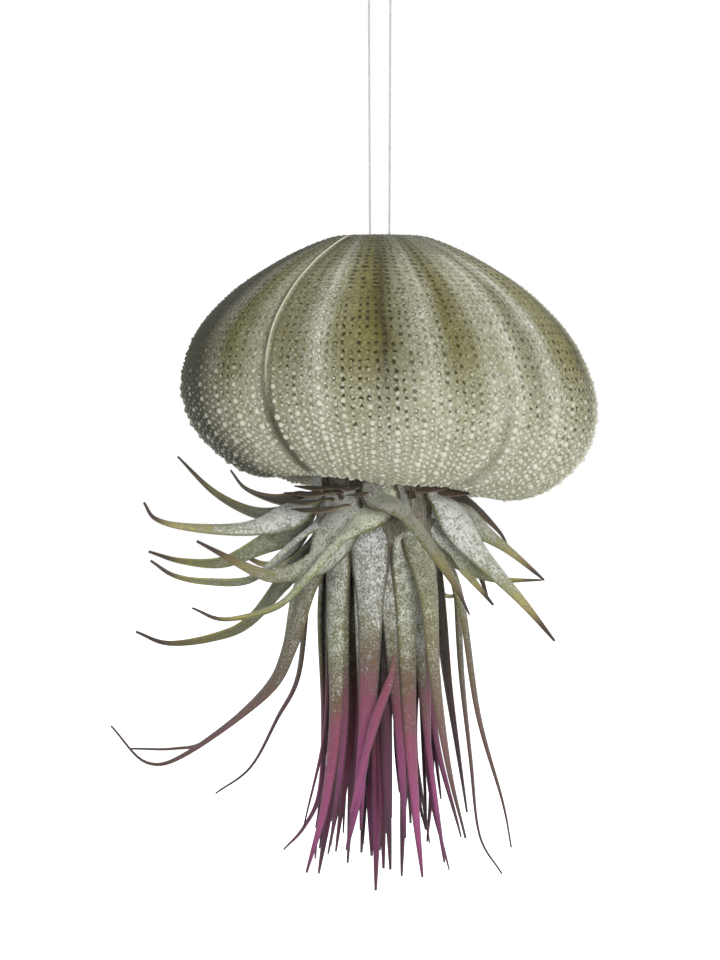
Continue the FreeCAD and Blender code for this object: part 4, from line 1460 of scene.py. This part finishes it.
def ring_leaf(name, angle, radius, full, places, clasping):
    """A leaf of the heart: it hangs from the stem's side or from the stem's end."""
    if clasping:
        clasp = clasp_radius - stem_taper + ring_gap
        route = [around(angle, clasp, stem_end_height + up) for up in CLASP_RISES]
        route.append(around(angle, clasp - ring_tuck, stem_end_height - ring_tuck_drop))
        base, clasped = ring_base, ring_clasp
    else:
        route = [around(angle, radius, stem_end_height + up) for up in HEART_RISES]
        base, clasped = full * heart_base_share, heart_clasp
    for turn, out, drop in places:
        route.append(around(turn, out * leaf_scale, mouth_height - drop * leaf_scale))
    length = sum(np.linalg.norm(b - a) for a, b in zip(route, route[1:]))
    rolls = ((0, 22), (clasped / length, 24), (0.3, 36), (0.7, 46), (1, 70))
    thick = ((0, 0.4), (0.15, 0.8), (0.4, 1.0), (1, 0.28))
    widths = leaf_widths(full, base, clasped, length, ring_power)
    twist, wave = seed.uniform(-0.3, 0.3), seed.uniform(-0.15, 0.15)
    return strap(name, route, widths, rolls, thick, 10, twist, wave, around(angle, 1, 0))


# How pale each leaf of the outer ring is made, as its tone
OUTER_TONES = (0.60, 0.50, 0.90, 0.70, 0.76, 0.97, 0.62, 0.86, 0.44)
for name, radius, width_share, rows in RINGS:
    clasping = radius > clasping_radius
    full = leaf_width * width_share * ring_width_gain
    for i, places in enumerate(rows, 1):
        leaf = ring_leaf(f"{name}_blade_{i:02d}", places[0][0], radius, full, places, clasping)
        # The middle and heart rings get tones no higher than 0.6: painted shade deep in the heart
        palest = OUTER_TONES[i - 1] if clasping else 0.6
        dress(leaf, name, i, purple_leaf, palest, palest - 0.02 if clasping else 0.1)

# Young thin leaves fill the heart between the rings, and one paler leaf lies over it in front. How
# far they are out and down is in photograph pixels, as in the table.
thin_leaves = 34
outermost = 23
young_out_range = (9, 20)
young_tip_out_range = (1, 13)
young_tip_drop_range = (138, 172)
young_width_range = (3.0, 4.4)
young_stray, young_swing = 9, 14
young_top_drop, young_middle_drop = 60, 110
for i in range(thin_leaves):
    angle = 360 * i / thin_leaves + seed.uniform(-young_stray, young_stray)
    out = seed.uniform(*young_out_range) if i % 3 else outermost
    low = seed.uniform(*young_tip_drop_range)
    swing = angle + seed.uniform(-young_swing, young_swing)
    tip = (swing, out + seed.uniform(*young_tip_out_range), low)
    places = ((angle, out, young_top_drop), (swing, out + 1, young_middle_drop), tip)
    full = seed.uniform(*young_width_range)
    leaf = ring_leaf(f"young_leaf_{i + 1:02d}", angle, out * leaf_scale, full, places, False)
    # A young leaf's tone is at most its distance out over 40, so the inner ones are darker: painted shade
    # deep in the heart
    dress(leaf, "heart_ring_leaf", i % 3 + 1, purple_leaf, out / 40, 0.0)

FRONT_PLACES = ((283, 27, 78), (279, 28.5, 88), (266, 29.5, 106), (256, 31, 126), (247, 32.5, 146))
front_route = [
    around(angle, out * leaf_scale, mouth_height - drop * leaf_scale) for angle, out, drop in FRONT_PLACES
]
front_widths = ((0, 0.4), (0.2, 1.8), (0.45, 2.4), (0.75, 1.5), (1, 0.35))
front_rolls = ((0, 60), (0.4, 40), (1, 70))
front_thick = ((0, 0.3), (0.4, 0.8), (1, 0.25))
front_leaf = strap("paler_front_leaf", front_route, front_widths, front_rolls, front_thick, 12, 0.3, 0.1)

# Only the last part of this leaf shows, so its colours start where the purple does
purple_start, purple_run = 0.56, 0.36
share = np.empty(len(front_leaf.data.vertices), np.float32)
along = front_leaf.data.attributes["along"].data
along.foreach_get("value", share)
along.foreach_set("value", purple_start + purple_run * share)
dress(front_leaf, "outer_ring_leaf", 7, purple_leaf, 1.0, 1.0)
